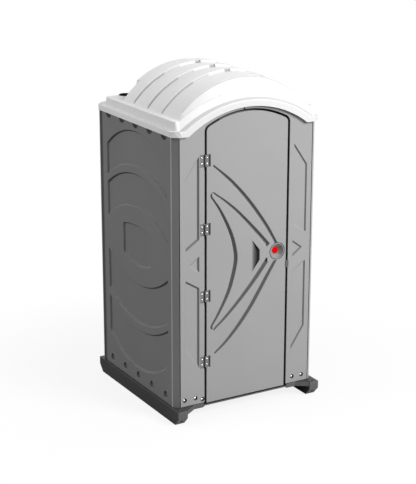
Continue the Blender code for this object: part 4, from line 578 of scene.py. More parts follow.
def wall_panel(name, node, width, place, left, right):
    corners = np.array([(left, 0), (right, 0), (right, WALL_HEIGHT), (left, WALL_HEIGHT)])
    sheet = Sheet(keep_corners(corners, 0.05))
    for distance in (0.0006, 0.0015, WALL_EDGE, WALL_EDGE + 0.001):
        sheet.add_line(keep_corners(inset(corners, distance), 0.05), True)
    fields = [resample(field, 0.010, True) for field in wall_fields(width)]
    for field in fields:
        sheet.add_rings(field, [FIELD_SLOPE * t for t in SLOPE_RINGS])
    dimples = []
    for i in range(5):
        for height, size in (LOW_DIMPLE, HIGH_DIMPLE):
            centre = np.array((DIMPLE_FIRST + DIMPLE_PITCH * i, height))
            dimples.append((centre, size))
            sheet.add_rounds(centre, size, DIMPLE_RINGS, 28)
            sheet.add_line([centre, centre + (0.001, 0)])

    def front(flat):
        depth = np.zeros(len(flat))
        for field in fields:
            depth = np.maximum(depth, FIELD_DEPTH * ramp(signed(flat, field) / FIELD_SLOPE))
        for centre, size in dimples:
            across, up = ((flat - centre) / size).T
            lean = 1 if centre[1] > 1 else 0.12 + 0.88 * np.clip((up + 1) / 2, 0, 1)
            depth = np.maximum(depth, DIMPLE_DEPTH * ramp((1 - np.hypot(across, up)) / 0.32) * lean)
        u, v = flat.T
        to_edge = np.minimum.reduce([u - left, right - u, v, WALL_HEIGHT - v])
        return depth + edge_round(to_edge, WALL_EDGE)

    def back(flat):
        return np.maximum(front(flat) + SHEET * 0.9, SHEET)

    made = sheet.build(0.045, front, back, place, name, SIDE_GREY)
    origin = Vector(place(0, 0, 0))
    along, inwards = Vector(place(1, 0, 0)) - origin, Vector(place(0, 0, 1)) - origin

    def shaded(at, way):
        """The fields' faces that look down, and the dimples."""
        u, v = (at - origin).dot(along), at.z - BASE_Z
        if way.z < -0.3 and 0.1 < v < WALL_HEIGHT - 0.07:
            return True
        if way.dot(inwards) > -0.02:
            return False
        for (x, height), (half_width, half_height) in dimples:
            up = (v - height) / half_height
            if math.hypot((u - x) / half_width, up) < 0.97 and (up > -0.7 or height > 1):
                return True
        return False

    shade_faces(made, SIDE_SHADE, shaded)
    weigh_normals(made)
    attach(made, "cabin")
    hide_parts(node)


near = CHAMFER + POST_LAND + GAP - CABIN_DEPTH / 2
far = CABIN_DEPTH / 2 - CHAMFER - POST_LAND - REAR_SEAM
for side, hand in ((-1, "left"), (1, "right")):
    wall_panel(f"side_wall_{hand}", f"side_panel_{hand}", CABIN_DEPTH,
               lambda u, v, d: (side * (SIDE_X - d), SHIFT_Y + u, BASE_Z + v), near, far)
rear_half = SIDE_X - CHAMFER - POST_FACE - GAP
wall_panel("rear_wall", "rear_panel", CABIN_WIDTH, lambda u, v, d: (u, REAR_Y - d, BASE_Z + v),
           -rear_half, rear_half)

# Front panels

FRONT_FIELD_SLOPE = 0.008
FRONT_FIELD_STEEPNESS = 0.75
FRONT_SLOPE_RINGS = (-0.1, 0.0, 0.15, 0.3, 0.5, 0.7, 0.85, 1.0, 1.1)
GAP_SHOWN = 0.0027
POCKET_SHOWN = 0.0125
PANEL_EDGE = 0.0025
DISH_RADIUS = 0.0168
DISH_DEPTH = 0.010
NOTCH_HALF = 0.0065
NOTCH_TOP = GAP_CROWN + 0.0255
NOTCH_DEPTH = 0.0045


def front_place(u, v, d):
    return u, FRONT_Y + d, BASE_Z + v


def opening_path(offset, side, end_x, arch_steps=40, fillet_steps=10):
    """Half of the door's outline, from its foot to end_x, moved outwards from the middle of the gap."""
    centre_height = GAP_CROWN - GAP_ARCH
    fillet_x = GAP_HALF - GAP_FILLET
    fillet_rise = math.sqrt((GAP_ARCH - GAP_FILLET) ** 2 - fillet_x ** 2)
    meet = math.atan2(fillet_rise, fillet_x)
    end = math.acos(side * (end_x - OPENING_X) / (GAP_ARCH + offset))
    fillet = arc((0, 0), GAP_FILLET + offset, 0, meet, fillet_steps)
    arch = arc((0, 0), GAP_ARCH + offset, meet, end, arch_steps)
    path = [(OPENING_X + side * (fillet_x + u), centre_height + fillet_rise + v) for u, v in fillet]
    path += [(OPENING_X + side * u, centre_height + v) for u, v in arch[1:]]
    return [(path[0][0], 0)] + path


def opening_outline(offset, foot):
    left = opening_path(offset, -1, OPENING_X)
    right = opening_path(offset, 1, OPENING_X)
    return [(left[0][0], foot)] + left[1:] + right[1:-1][::-1] + [(right[0][0], foot)]


def pocket_depth(flat, left, right, left_slope, right_slope):
    """Depth of the hinge pockets, open where a limit lies outside the piece."""
    half = HINGE_HALF + POCKET_MARGIN
    across = np.minimum(ramp((flat[:, 0] - left) / left_slope), ramp((right - flat[:, 0]) / right_slope))
    ups = [ramp((half - np.abs(flat[:, 1] - height)) / 0.0015) for height in HINGE_HEIGHTS]
    return POCKET_SHOWN * np.minimum(across, np.maximum.reduce(ups))


def pocket_lines(sheet, left, right, uprights):
    half, step = HINGE_HALF + POCKET_MARGIN, 0.0008
    rows = (-half - step, -half, -half + step, -half + step * 2,
            half - step * 2, half - step, half, half + step)
    for height in HINGE_HEIGHTS:
        for v in rows:
            sheet.add_line([(left, height + v), (right, height + v)])
        for u in uprights:
            sheet.add_line([(u, height - half - step), (u, height + half + step)])


# The frame is near black: painted shade in the door gap.
def door_frame(name, side, seam):
    """The frame behind the gap: a stepped profile led along half of the opening."""
    near = GAP_SIDE + GAP_SHOWN
    profile = [(near + 0.0008, 0.003), (near + JAMB_SHEET, 0.003), (near + JAMB_SHEET, JAMB_DEPTH),
               (GAP_SIDE - STOP_WIDTH, JAMB_DEPTH), (GAP_SIDE - STOP_WIDTH, JAMB_DEPTH - STOP_SHEET),
               (near, JAMB_DEPTH - STOP_SHEET), (near, 0.0032)]
    profile = [tuple(p) for p in rounded(profile, 0.0015, 3)]
    paths = [opening_path(offset, side, seam) for offset, depth in profile]
    count, length = len(profile), len(paths[0])
    verts = [front_place(*paths[k][i], profile[k][1]) for i in range(length) for k in range(count)]
    faces = [tuple(range(count)), tuple(range((length - 1) * count, length * count))[::-1]]
    for i in range(length - 1):
        for k in range(count):
            j = (k + 1) % count
            faces.append((i * count + k, i * count + j, (i + 1) * count + j, (i + 1) * count + k))
    return new_object(name, verts, faces, 35, [JAMB_SHADE])


def front_panel(name, node, side):
    seam = FRONT_SEAM_X + side * GAP
    outer = side * (SIDE_X - CHAMFER - POST_FACE - GAP)
    opening = opening_path(GAP_SIDE + GAP_SHOWN, side, seam)
    steps = 60
    tops = [seam + (side * HEADER_HALF_SPAN - seam) * i / steps for i in range(steps + 1)]
    flat_top = WALL_HEIGHT - HEADER_DROP
    crest = [(x, bulge(x, HEADER_CROWN, HEADER_HALF_SPAN, flat_top)) for x in tops]
    outline = keep_corners(opening + crest + [(outer, flat_top), (outer, 0)], 0.03)
    sheet = Sheet(outline)
    sheet.add_rings(outline, (0.0005, 0.0012, PANEL_EDGE, PANEL_EDGE + 0.0008))
    slope = FRONT_FIELD_SLOPE * (1.3 if side > 0 else 1.7)
    fields = []
    for share_points in FRONT_FIELD_SHARES:
        corners = [(side * a * CABIN_WIDTH, b * WALL_HEIGHT) for a, b in share_points]
        fields.append(resample(rounded(corners, 0.006, 4), 0.008, True))
        sheet.add_rings(fields[-1], [slope * t for t in FRONT_SLOPE_RINGS])
    pocket_left = HINGE_X - FRAME_LEAF_REACH - POCKET_MARGIN
    if side < 0:
        pocket_lines(sheet, pocket_left - 0.001, opening[0][0] - PANEL_EDGE - 0.001,
                     [pocket_left + reach for reach in (0, 0.0008, 0.0016, 0.003)])
    bolts = [place for place in BOLT_PLACES if place[0] * side > 0]
    for place in bolts:
        sheet.add_rounds(place, DISH_RADIUS, (1.08, 1.0, 0.92, 0.84, 0.76, 0.6, 0.3), 32)
    for back_off in (0.002, 0.001, 0):
        x, top = FRONT_SEAM_X + side * (NOTCH_HALF - back_off), NOTCH_TOP - back_off
        sheet.add_line([(x, GAP_CROWN + 0.010), (x, NOTCH_TOP)])
        sheet.add_line([(FRONT_SEAM_X + side * 0.0035, top), (FRONT_SEAM_X + side * NOTCH_HALF, top)])

    def front(flat):
        u, v = flat.T
        depth = np.zeros(len(flat))
        for field in fields:
            sunk = slope * FRONT_FIELD_STEEPNESS * ramp(signed(flat, field) / slope)
            depth = np.maximum(depth, sunk)
        for x, height in bolts:
            dish = DISH_DEPTH * ramp((DISH_RADIUS - np.hypot(u - x, v - height)) / 0.0035)
            depth = np.maximum(depth, dish)
        notch = np.minimum(NOTCH_HALF - np.abs(u - FRONT_SEAM_X), NOTCH_TOP - v)
        depth = np.maximum(depth, NOTCH_DEPTH * ramp(notch / 0.002))
        if side < 0:
            depth = np.maximum(depth, pocket_depth(flat, pocket_left, OPENING_X, 0.0016, 0.001))
        return depth + edge_round(nearest(flat, outline)[0], PANEL_EDGE)

    def back(flat):
        return np.maximum(front(flat) + SHEET * 0.85, SHEET)

    panel = sheet.build(0.035, front, back, front_place, name + "_sheet", FRONT_GREY)
    made = joined(name, [panel, door_frame(name + "_jamb", side, seam)])

    def sunk_face(at, way, shallowest=-1.0):
        return way.y < 0.05 and FRONT_Y + shallowest < at.y < FRONT_Y + 0.014

    # Painted shade: a dark crescent in each bolt dish.
    def in_crescent(at, way):
        """The part of a bolt's dish to the right of the bolt and below it."""
        if way.y > 0.05 or not FRONT_Y + 0.0008 < at.y < FRONT_Y + 0.011:
            return False
        u, v = at.x, at.z - BASE_Z
        return any(math.hypot(u - x, v - height) < DISH_RADIUS + 0.0004
                   and u - x - 0.6 * (v - height) > 0.001 for x, height in bolts)

    # Painted shade in the notch above the door's crown.
    def in_notch(at, way):
        return (abs(at.x - FRONT_SEAM_X) < NOTCH_HALF - 0.001 and way.y < 0.05
                and GAP_CROWN < at.z - BASE_Z < NOTCH_TOP + 0.0015)

    # Painted shade on the sunk faces that look left, and a darker grey on the lit field slopes to tone their
    # light down.
    shade_faces(made, PANEL_SHADE, lambda at, way: way.x < -0.12 and sunk_face(at, way))
    shade_faces(made, PANEL_SLOPE_SHADE, lambda at, way: way.x > 0.12 and sunk_face(at, way, 0.0004)
                and at.z - BASE_Z > 0.15 and abs(at.x) > 0.37)
    shade_faces(made, BARREL_GREY_AND_SHADE, in_crescent)
    # Painted shade: a dark line along the left panel's outer edge, beside the post.
    shade_faces(made, SEAM_SHADE, lambda at, way: side < 0 and at.x < outer + 0.0018 and way.x < -0.25)
    shade_faces(made, JAMB_SHADE, in_notch)
    weigh_normals(made)
    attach(made, "cabin")
    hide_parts(node)


front_panel("front_wall_left", "front_panel_left", -1)
front_panel("front_wall_right", "front_panel_right", 1)

# Door

GROOVE_WIDTH = 0.034
GROOVE_DEPTH = 0.020
GROOVE_WALL = 0.012
UPPER_GROOVE = ((-0.2677, 1.700), (-0.1313, 1.5786), (-0.0219, 1.4615), (0.0719, 1.3443),
                (0.1656, 1.2115), (0.2438, 1.0813))
LOWER_GROOVE = ((-0.2537, 0.3547), (-0.168, 0.4198), (-0.0688, 0.5188), (0.025, 0.6333),
                (0.103, 0.748), (0.176, 0.8625), (0.2438, 0.964))
CRESCENT = ((-0.2823, 1.482), (-0.225, 1.399), (-0.173, 1.305), (-0.126, 1.201), (-0.1, 1.1125),
            (-0.087, 1.02), (-0.1026, 0.925), (-0.1365, 0.810), (-0.178, 0.722), (-0.230, 0.633),
            (-0.2797, 0.560))
UPPER_ARM = ((-0.2563, 1.503), (-0.1677, 1.435), (-0.074, 1.352), (0.0094, 1.266), (0.093, 1.175),
             (0.175, 1.082))
LOWER_ARM = ((-0.2537, 0.537), (-0.173, 0.602), (-0.0844, 0.683), (0.0094, 0.779), (0.093, 0.873),
             (0.175, 0.975))
UPPER_TIP = ((-0.2823, 1.482), (-0.2845, 1.499), (-0.2730, 1.5095), (-0.2563, 1.503))
LOWER_TIP = ((-0.2797, 0.560), (-0.2815, 0.541), (-0.2700, 0.5300), (-0.2537, 0.537))
ARM_WIDTHS = (0.52, 0.75, 0.9, 1.0, 1.1, 1.1)
TIP_WIDTHS = (0.52, 0.52, 0.52, 0.52)
GROOVE_LINES = ((UPPER_GROOVE, (0.55, 0.95, 1.05, 1.05, 1.0, 0.8)),
                (LOWER_GROOVE, (0.52, 0.85, 1.0, 1.05, 1.0, 0.8)),
                (CRESCENT, (0.52, 0.75, 0.95, 1.05, 1.1, 1.05, 0.95, 0.75, 0.52)),
                (UPPER_ARM, ARM_WIDTHS), (LOWER_ARM, ARM_WIDTHS),
                (UPPER_TIP, TIP_WIDTHS), (LOWER_TIP, TIP_WIDTHS))
GROOVE_ROWS = (-1.06, -1.0, -0.8, -0.55, -0.2, 0.15, 0.42, 0.60, 0.68, 0.80, 0.92, 1.0, 1.06)
# Shares across the handle recess where its painted shade changes tone.
HANDLE_TONES = (0.12, 0.26, 0.42, 0.60, 0.93)
PLATE = ((0.171, 0.956), (0.333, 0.956), (0.333, 1.078), (0.171, 1.078))
DOOR_EDGE = 0.003
DOOR_RIM = 0.030
SUNK_DEPTH = 0.0285


def smooth_line(points, spacing):
    """A Catmull-Rom curve through the points, at even spacing."""
    points = [np.asarray(p, float) for p in points]
    points = [2 * points[0] - points[1]] + points + [2 * points[-1] - points[-2]]
    out = []
    for i in range(1, len(points) - 2):
        a, b, c, d = points[i - 1:i + 3]
        for t in np.linspace(0, 1, 12, endpoint=False):
            out.append(0.5 * (2 * b + (c - a) * t + (2 * a - 5 * b + 4 * c - d) * t ** 2
                              + (3 * b - a - 3 * c + d) * t ** 3))
    out.append(points[-2])
    return resample(out, spacing)


def groove_rows(points, widths):
    """Each point of a groove's middle with its right-hand normal and its share of the full width."""
    line = smooth_line(points, 0.008 if len(points) > 4 else 0.004)
    if line[0][1] < line[-1][1]:
        line, widths = line[::-1], widths[::-1]
    run = np.gradient(line, axis=0)
    run /= np.hypot(run[:, 0], run[:, 1])[:, None]
    normal = np.column_stack((run[:, 1], -run[:, 0]))
    share = np.interp(np.linspace(0, 1, len(line)), np.linspace(0, 1, len(widths)), widths)
    return line, normal, share


GROOVES = [groove_rows(points, widths) for points, widths in GROOVE_LINES]


def groove_place(flat, rows):
    """For each point: distance to the right of a groove's middle, width share, distance past its ends."""
    line, normal, share = rows
    _, i, raw = nearest(flat, line, False)
    t = np.clip(raw, 0, 1)
    run = line[i + 1] - line[i]
    gap = flat - (line[i] + t[:, None] * run)
    side = np.sum(gap * (normal[i] + normal[i + 1]) / 2, axis=1)
    width = share[i] + (share[i + 1] - share[i]) * t
    before = np.where(i == 0, np.maximum(-raw, 0), 0)
    after = np.where(i == len(line) - 2, np.maximum(raw - 1, 0), 0)
    return side, width, np.maximum(before, after) * np.hypot(*run.T)


def groove_depth(flat, rows):
    """Depth of a groove: a gentle ramp on its left and a steep wall on its right."""
    side, width, beyond = groove_place(flat, rows)
    half = GROOVE_WIDTH * width / 2
    wall = GROOVE_WALL * width
    rise = ramp((side + half) / (2 * half - wall), 0.35)
    fall = ramp((half - side) / wall, 0.3)
    ends = ramp(1 - beyond / (0.4 * half + 1e-6))
    return GROOVE_DEPTH * width * np.minimum(rise, fall) * ends


def groove_lines(sheet, rows):
    line, normal, share = rows
    for n in GROOVE_ROWS:
        sheet.add_line(line + normal * (GROOVE_WIDTH / 2 * share * n)[:, None])
    for end, towards in ((0, 1), (-1, -2)):
        run = line[end] - line[towards]
        run = run / np.hypot(*run)
        half = GROOVE_WIDTH / 2 * share[end]
        for reach in (0.1, 0.2, 0.3, 0.4, 0.5):
            middle = line[end] + run * half * reach
            a, b = middle - normal[end] * half * 0.9, middle + normal[end] * half * 0.9
            sheet.add_line([a, (a + b) / 2, b])


def door_pockets():
    """Shallow pockets in the back of the door, between its rim and its ribs."""
    left = OPENING_X - GAP_HALF + GAP_SIDE + DOOR_RIM
    right = OPENING_X + GAP_HALF - GAP_SIDE - DOOR_RIM
    block_low, block_high, rib, block_left, foot = 0.860, 1.180, 0.020, 0.022, DOOR_RIM - DOOR_DROP
    pockets = [opening_outline(-GAP_SIDE - DOOR_RIM, block_high + rib),
               [(left, foot), (right, foot), (right, block_low - rib), (left, block_low - rib)],
               [(left, block_low), (block_left, block_low), (block_left, block_high), (left, block_high)]]
    return [keep_corners(rounded(pocket, 0.010, 4), 0.03) for pocket in pockets]


def door():
    outline = keep_corners(opening_outline(-GAP_SIDE - GAP_SHOWN, -DOOR_DROP), 0.03)
    sheet = Sheet(outline)
    sheet.add_rings(outline, (0.0006, 0.0015, DOOR_EDGE, DOOR_EDGE + 0.001))
    for rows in GROOVES:
        groove_lines(sheet, rows)
    handle = np.array([(OPENING_X + a * GAP_HALF, b * GAP_CROWN) for a, b in HANDLE_SHARES])
    handle_loop = resample(rounded(handle, 0.004, 4), 0.006, True)
    sheet.add_rings(handle_loop, (-0.001, 0.0, 0.0008, 0.0016, 0.0025, 0.0035))
    for share in HANDLE_TONES:
        top, foot = (handle[a] + (handle[b] - handle[a]) * share for a, b in ((0, 1), (3, 2)))
        sheet.add_line([top - (0, 0.004), foot + (0, 0.004)])
    pocket_right = HINGE_X + DOOR_LEAF_REACH + POCKET_SLOPE + GAP
    slope_lines = [pocket_right - POCKET_SLOPE * t for t in (0.0, 0.15, 0.3, 0.5, 0.7, 0.85, 1.0)]
    pocket_lines(sheet, OPENING_X - GAP_HALF + GAP_SIDE + DOOR_EDGE + 0.001, pocket_right + 0.001,
                 slope_lines + [pocket_right + 0.001])
    centre = (LOCK_X, LOCK_HEIGHT)
    for extra in (0, 0.0006, 0.0012, 0.002, 0.003):
        sheet.add_line(arc(centre, LOCK_HOLE + extra, 0, math.tau, 64)[:-1], True)
    sheet.holes.append(arc(centre, LOCK_HOLE, 0, math.tau, 64)[:-1])
    plate = resample(rounded(PLATE, 0.006, 4), 0.008, True)
    sheet.add_rings(plate, (-0.0015, 0.0, 0.0015, 0.003))
    pockets = door_pockets()
    for pocket in pockets:
        sheet.add_rings(pocket, (-0.0012, 0.0, 0.0012, 0.003, 0.0048, 0.006, 0.0072))

    def front(flat):
        depth = np.maximum.reduce([groove_depth(flat, rows) for rows in GROOVES])
        depth *= 1 - ramp((signed(flat, plate) + 0.0015) / 0.003)
        into = ramp(signed(flat, handle_loop) / 0.003)
        across = np.clip((flat[:, 0] - handle[0][0]) / (handle[1][0] - handle[0][0]), 0, 1)
        depth = np.maximum(depth, into * (0.003 + 0.023 * across))
        depth = np.maximum(depth, pocket_depth(flat, -1.0, pocket_right, 0.001, POCKET_SLOPE))
        to_lock = np.hypot(flat[:, 0] - centre[0], flat[:, 1] - centre[1]) - LOCK_HOLE
        to_edge = nearest(flat, outline)[0]
        return depth + edge_round(to_edge, DOOR_EDGE) + edge_round(np.abs(to_lock), 0.002)

    def back(flat):
        depth = np.full(len(flat), DOOR_THICK)
        skin = front(flat) + DOOR_SKIN
        for pocket in pockets:
            into = ramp(signed(flat, pocket) / 0.006)
            depth = np.minimum(depth, DOOR_THICK - (DOOR_THICK - np.minimum(skin, DOOR_THICK)) * into)
        return depth - edge_round(nearest(flat, outline)[0], DOOR_EDGE)

    made = sheet.build(0.035, front, back, front_place, "door_leaf", FRONT_GREY)
    low, high = handle.min(0), handle.max(0)

    def in_handle(at, way, start, end):
        if way.y > 0.05 or not FRONT_Y + 0.0015 < at.y < FRONT_Y + SUNK_DEPTH:
            return False
        across = (at.x - low[0]) / (high[0] - low[0])
        return start <= across < end and low[1] < at.z - BASE_Z < high[1]

    # Painted shade: a strip of ramp faces beside the steep walls of the upper groove and the upper arm.
    places = np.array([(polygon.center.x, polygon.center.z - BASE_Z) for polygon in made.data.polygons])
    beside = np.full(len(places), False)
    for rows in (GROOVES[0], GROOVES[3]):
        right, width, beyond = groove_place(places, rows)
        across = right / (GROOVE_WIDTH * width / 2)
        beside |= (across > -0.2) & (across < 0.15) & (beyond == 0) & (width > 0.6)
    picks = iter(beside)
    shade_faces(made, FRONT_SHADE, lambda at, way: at.y < FRONT_Y + SUNK_DEPTH
                and way.y < 0.05 and way.x < -0.33)
    shade_faces(made, SOFT_SHADE, lambda at, way: next(picks) and way.y < 0
                and FRONT_Y + 0.002 < at.y < FRONT_Y + SUNK_DEPTH)
    # Painted shade: darker greys in steps across the handle recess towards its deep right side, lighter
    # again at the right wall.
    tones = (SOFT_SHADE, HINGE_GREY_AND_SHADE, FRONT_SHADE, SIDE_SHADE, BARREL_GREY_AND_SHADE, FRONT_SHADE)
    for tone, start, end in zip(tones, (0,) + HANDLE_TONES, HANDLE_TONES + (1.01,)):
        shade_faces(made, tone, lambda at, way: in_handle(at, way, start, end))
    weigh_normals(made)
    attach(made, "door")
    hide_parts("door_panel")


door()

# Corner posts


def post(node, side, end, side_lap):
    """A post in plan; distances are inwards from the side face and from the front or rear face."""
    start = CHAMFER + POST_LAND
    slope = CHAMFER - (0.003 if end < 0 else 0)
    face = slope + (0.0006 if end < 0 else POST_FACE)
    lap_face, lap_back = SHEET + GAP, SHEET * 2 + GAP
    slant = CHAMFER + SHEET * math.sqrt(2)
    outer = CHAMFER + POST_FACE + POST_LAP
    plan = [(0, start), (0, slope), (slope, 0), (face, 0), (face, lap_face), (outer, lap_face),
            (outer, lap_back), (slant - lap_back, lap_back), (lap_back, slant - lap_back),
            (lap_back, start + side_lap), (lap_face, start + side_lap), (lap_face, start)]
    end_y = FRONT_Y if end < 0 else REAR_Y
    outline = rounded([(side * (SIDE_X - a), end_y - end * b) for a, b in plan], 0.0022, 4)
    made = prism(node + "_moulding", outline, lambda u, v, d: (u, v, BASE_Z + d), 0, WALL_HEIGHT - 0.002,
                 FRONT_GREY if end < 0 else SIDE_GREY, 40)

    # Painted shade on the seam faces of the posts.
    def in_seam(at, way):
        in_side = at.x * side < SIDE_X - lap_face + 0.001 and way.x * side > 0.9
        in_face = (at.y - end_y) * end < -0.0015 and way.y * end > 0.9
        return (end > 0 and in_side) or in_face

    # Painted light on the front posts' chamfers: painted shade on the left one, a painted highlight on the
    # right one.
    shade_faces(made, POST_SHADE if side < 0 else POST_HIGHLIGHT,
                lambda at, way: end < 0 and way.x * side > 0.4 and way.y < -0.4)
    shade_faces(made, SEAM_SHADE, in_seam)
    weigh_normals(made)
    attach(made, "cabin")
    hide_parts(node)


post("front_left_post", -1, -1, POST_LAP)
post("front_right_post", 1, -1, POST_LAP)
post("rear_left_post", -1, 1, REAR_SEAM + POST_LAP)
post("rear_right_post", 1, 1, REAR_SEAM + POST_LAP)

# Hinges and bolts


def dome(name, centre, radius, height, skirt):
    """A round head whose crown points to the front; its centre is at its foot."""
    profile = [(0, -height)]
    for k in range(1, 7):
        a = math.pi / 2 * k / 6
        profile.append((radius * math.sin(a), -height * math.cos(a)))
    profile += [(radius, skirt), (0, skirt)]
    return turned(name, profile, centre, (0, 1, 0), 28, RIVET)


def barrel(name, centre, low, high):
    bore, flat, r = 0.0025, HINGE_KNUCKLE - 0.0005, HINGE_KNUCKLE
    profile = [(bore, low), (flat, low), (r, low + 0.0005), (r, high - 0.0005), (flat, high), (bore, high)]
    return turned(name, profile, centre, (0, 0, 1), 28, BARREL_GREY_AND_SHADE, 40)


def hinge(number, height):
    back = POCKET_SHOWN - GAP
    face = HINGE_POCKET - GAP - HINGE_LEAF
    centre = front_place(HINGE_X, height, HINGE_AXIS_DEPTH)
    inner, middle = HINGE_MIDDLE_HALF + GAP, HINGE_MIDDLE_HALF
    foot, top = height - HINGE_HALF, height + HINGE_HALF
    for part, reach, side in (("frame_leaf", FRAME_LEAF_REACH, -1), ("door_leaf", DOOR_LEAF_REACH, 1)):
        near, far = HINGE_X + side * HINGE_KNUCKLE * 0.8, HINGE_X + side * reach
        outline = rounded([(near, foot), (far, foot), (far, top), (near, top)], 0.003, 4)
        name = f"hinge_{number}_{part}"
        pieces = [prism(name + "_plate", outline, front_place, face, back, HINGE_GREY_AND_SHADE)]
        spans = [(-HINGE_HALF, -inner), (inner, HINGE_HALF)] if side < 0 else [(-middle, middle)]
        for k, (low, high) in enumerate(spans):
            pieces.append(barrel(f"{name}_barrel_{k}", centre, low, high))
        rivet_x = HINGE_X + side * RIVET_INSET + (-HINGE_LEAF if side < 0 else 0)
        for spread_z in (-RIVET_SPREAD, RIVET_SPREAD):
            place = front_place(rivet_x, height + spread_z, face)
            pieces.append(dome(f"{name}_rivet", place, 0.0062, 0.0035, 0.001))
        made = joined(name + "_finish", pieces)
        bevelled(made, 0.0006, 2, 40)
        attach(made, "cabin" if side < 0 else "door")
        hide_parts(name)


for number, height in enumerate(HINGE_HEIGHTS, 1):
    hinge(number, height)

for number, (x, height) in enumerate(BOLT_PLACES, 1):
    place = front_place(x - 0.0035, height + 0.001, 0.0060)
    head = dome(f"bolt_head_{number}", place, 0.0092, 0.0080, 0.0080)
    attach(head, "cabin")
    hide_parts(f"front_bolt_{number}")

# Lock bowl, disc and edge lug

BOWL_PROFILE = ((0.0592, 0.0090), (0.0592, 0.0022), (0.0585, 0.0012), (0.0572, 0.0008), (0.0520, 0.0008),
                (0.0507, 0.0012), (0.0500, 0.0022), (0.0494, 0.0060), (0.0484, 0.0068), (0.0470, 0.0074),
                (0.0262, 0.0262), (0.0246, 0.0274), (0.0236, 0.0286), (0.0232, 0.0300), (0.0230, 0.0335),
                (0.0063, 0.0335), (0.0063, 0.0360), (0.0255, 0.0360), (0.0345, 0.0300),
                (0.0497, 0.0300), (0.0497, 0.0197), (0.0618, 0.0197), (0.0618, 0.0092))
DISC_PROFILE = ((0, 0.0240), (0.0212, 0.0240), (0.0219, 0.0243), (0.0222, 0.0250),
                (0.0222, 0.0265), (0.0215, 0.0270), (0, 0.0270))


def lock():
    centre = front_place(LOCK_X, LOCK_HEIGHT, 0)

    def shaded(at, way):
        """The walls that look left, the floor and the ring's outer side."""
        return ((way.x < -0.45 and way.y < 0.1) or at.y > FRONT_Y + 0.0265
                or math.hypot(at.x - LOCK_X, at.z - BASE_Z - LOCK_HEIGHT) > 0.0588)

    # The bowl's inside is painted shade all over, darker still on the faces that shaded picks.
    bowl = turned("lock_bowl_finish", BOWL_PROFILE, centre, (0, 1, 0), 96, SOFT_SHADE)
    shade_faces(bowl, PANEL_SHADE, shaded)
    weigh_normals(bowl)
    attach(bowl, "door")
    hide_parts("lock_bowl")
    disc = turned("disc_finish", DISC_PROFILE, centre, (0, 1, 0), 72, SIGNAL_RED)
    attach(disc, "lock")
    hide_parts("occupancy_disc")


def edge_lug():
    outline = rounded([(0.3225, 0.891), (0.3475, 0.891), (0.3475, 0.945), (0.3225, 0.945)], 0.008, 5)
    made = prism("edge_lug_finish", outline, front_place, -0.0055, -GAP, FRONT_SHADE, None)
    made.data.shade_smooth()
    bevelled(made, 0.002)
    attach(made, "door")
    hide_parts("door_edge_lug")


lock()
edge_lug()

# Roof

ROOF_SHEET = 0.006
VAULT_RISE = 0.249
VAULT_SPAN = 0.515
VAULT_FRONT = 0.0655
VAULT_PITCH = 0.2025
RIB_HEIGHT = 0.016
VAULT_TAIL = 0.020
SLOT_HALF = 0.0225
PIPE_HOLE = 0.050
# Half width, front and rear overhang, front and rear corner; flat level, crown, half span, share of sheet
ROOF_BANDS = (
    (0.585, 0.0245, 0.015, 0.045, 0.064, 1.925, 2.083, 0.4696, 0),
    (0.585, 0.0245, 0.015, 0.045, 0.064, 1.965, 2.1265, 0.495, 1),
    (0.560, -0.0005, -0.110, 0.014, 0.014, 1.965, 2.142, 0.5286, 1),
    (0.556, -0.0185, -0.114, 0.014, 0.014, 2.027, 2.192, 0.519, 1),
    (0.546, -0.0285, -0.124, 0.014, 0.014, 2.027, 2.192, 0.515, 1),
)
RING_REACHES = {1: 0.007, 2: 0.004, 3: 0.008, 4: 0.004}
COLLAR_PROFILE = ((0.0476, -0.012), (0.0600, -0.012), (0.0600, -0.0005), (0.0592, 0.0008), (0.0555, 0.0090),
                  (0.0540, 0.0106), (0.0525, 0.0112), (0.0490, 0.0112), (0.0476, 0.0100))


def roof_rings(sheet):
    """The bands of the rim, moved inwards and down by a sheet."""
    loss = sheet * (2 - math.sqrt(2))
    return [(half - sheet, front - sheet, rear - sheet, corner - loss, back - loss, flat - sheet * lower,
             crown - sheet * lower, span)
            for half, front, rear, corner, back, flat, crown, span, lower in ROOF_BANDS]


def vault_columns():
    radius = (VAULT_SPAN ** 2 + VAULT_RISE ** 2) / (2 * VAULT_RISE)
    foot = math.asin(VAULT_SPAN / radius)
    xs = [radius * math.sin(foot * i / 36) for i in range(-36, 37)]
    shoulder = radius * math.sin(foot * 25 / 36)
    extra = [-SLOT_HALF - 0.0006, -SLOT_HALF, SLOT_HALF, SLOT_HALF + 0.0006, shoulder + 0.004,
             -shoulder - 0.004, PIPE_X - PIPE_HOLE, PIPE_X + PIPE_HOLE]
    kept = [x for x in xs if min(abs(x - e) for e in extra) > 0.002 or abs(abs(x) - shoulder) < 1e-6]
    return sorted(kept + extra), shoulder


def vault_rows(sheet):
    """Stations along the vault: (y, height over its circle, flanks reach it, slot row)."""
    front = FRONT_Y + VAULT_FRONT + sheet
    rows = [(front, 0, True, False)]
    for rib in range(1, 4):
        wall = front + VAULT_PITCH * rib
        rows += [(wall - 0.002, 0, True, False), (wall + 0.0010, 0.0025, True, True),
                 (wall + 0.0065, 0.0125, True, True), (wall + 0.0085, RIB_HEIGHT, True, False),
                 (wall + VAULT_PITCH / 2, RIB_HEIGHT, True, False)]
    end = front + VAULT_PITCH * 4 - sheet * 2
    flank = end - 0.050
    slope = RIB_HEIGHT * 2 / VAULT_PITCH
    return rows + [(flank, slope * 0.050, True, False), (flank + VAULT_TAIL, slope * 0.030, False, False),
                   (end, 0, False, False), (end + VAULT_TAIL, None, False, False),
                   (PIPE_Y - PIPE_HOLE, None, False, False), (PIPE_Y + PIPE_HOLE, None, False, False)]


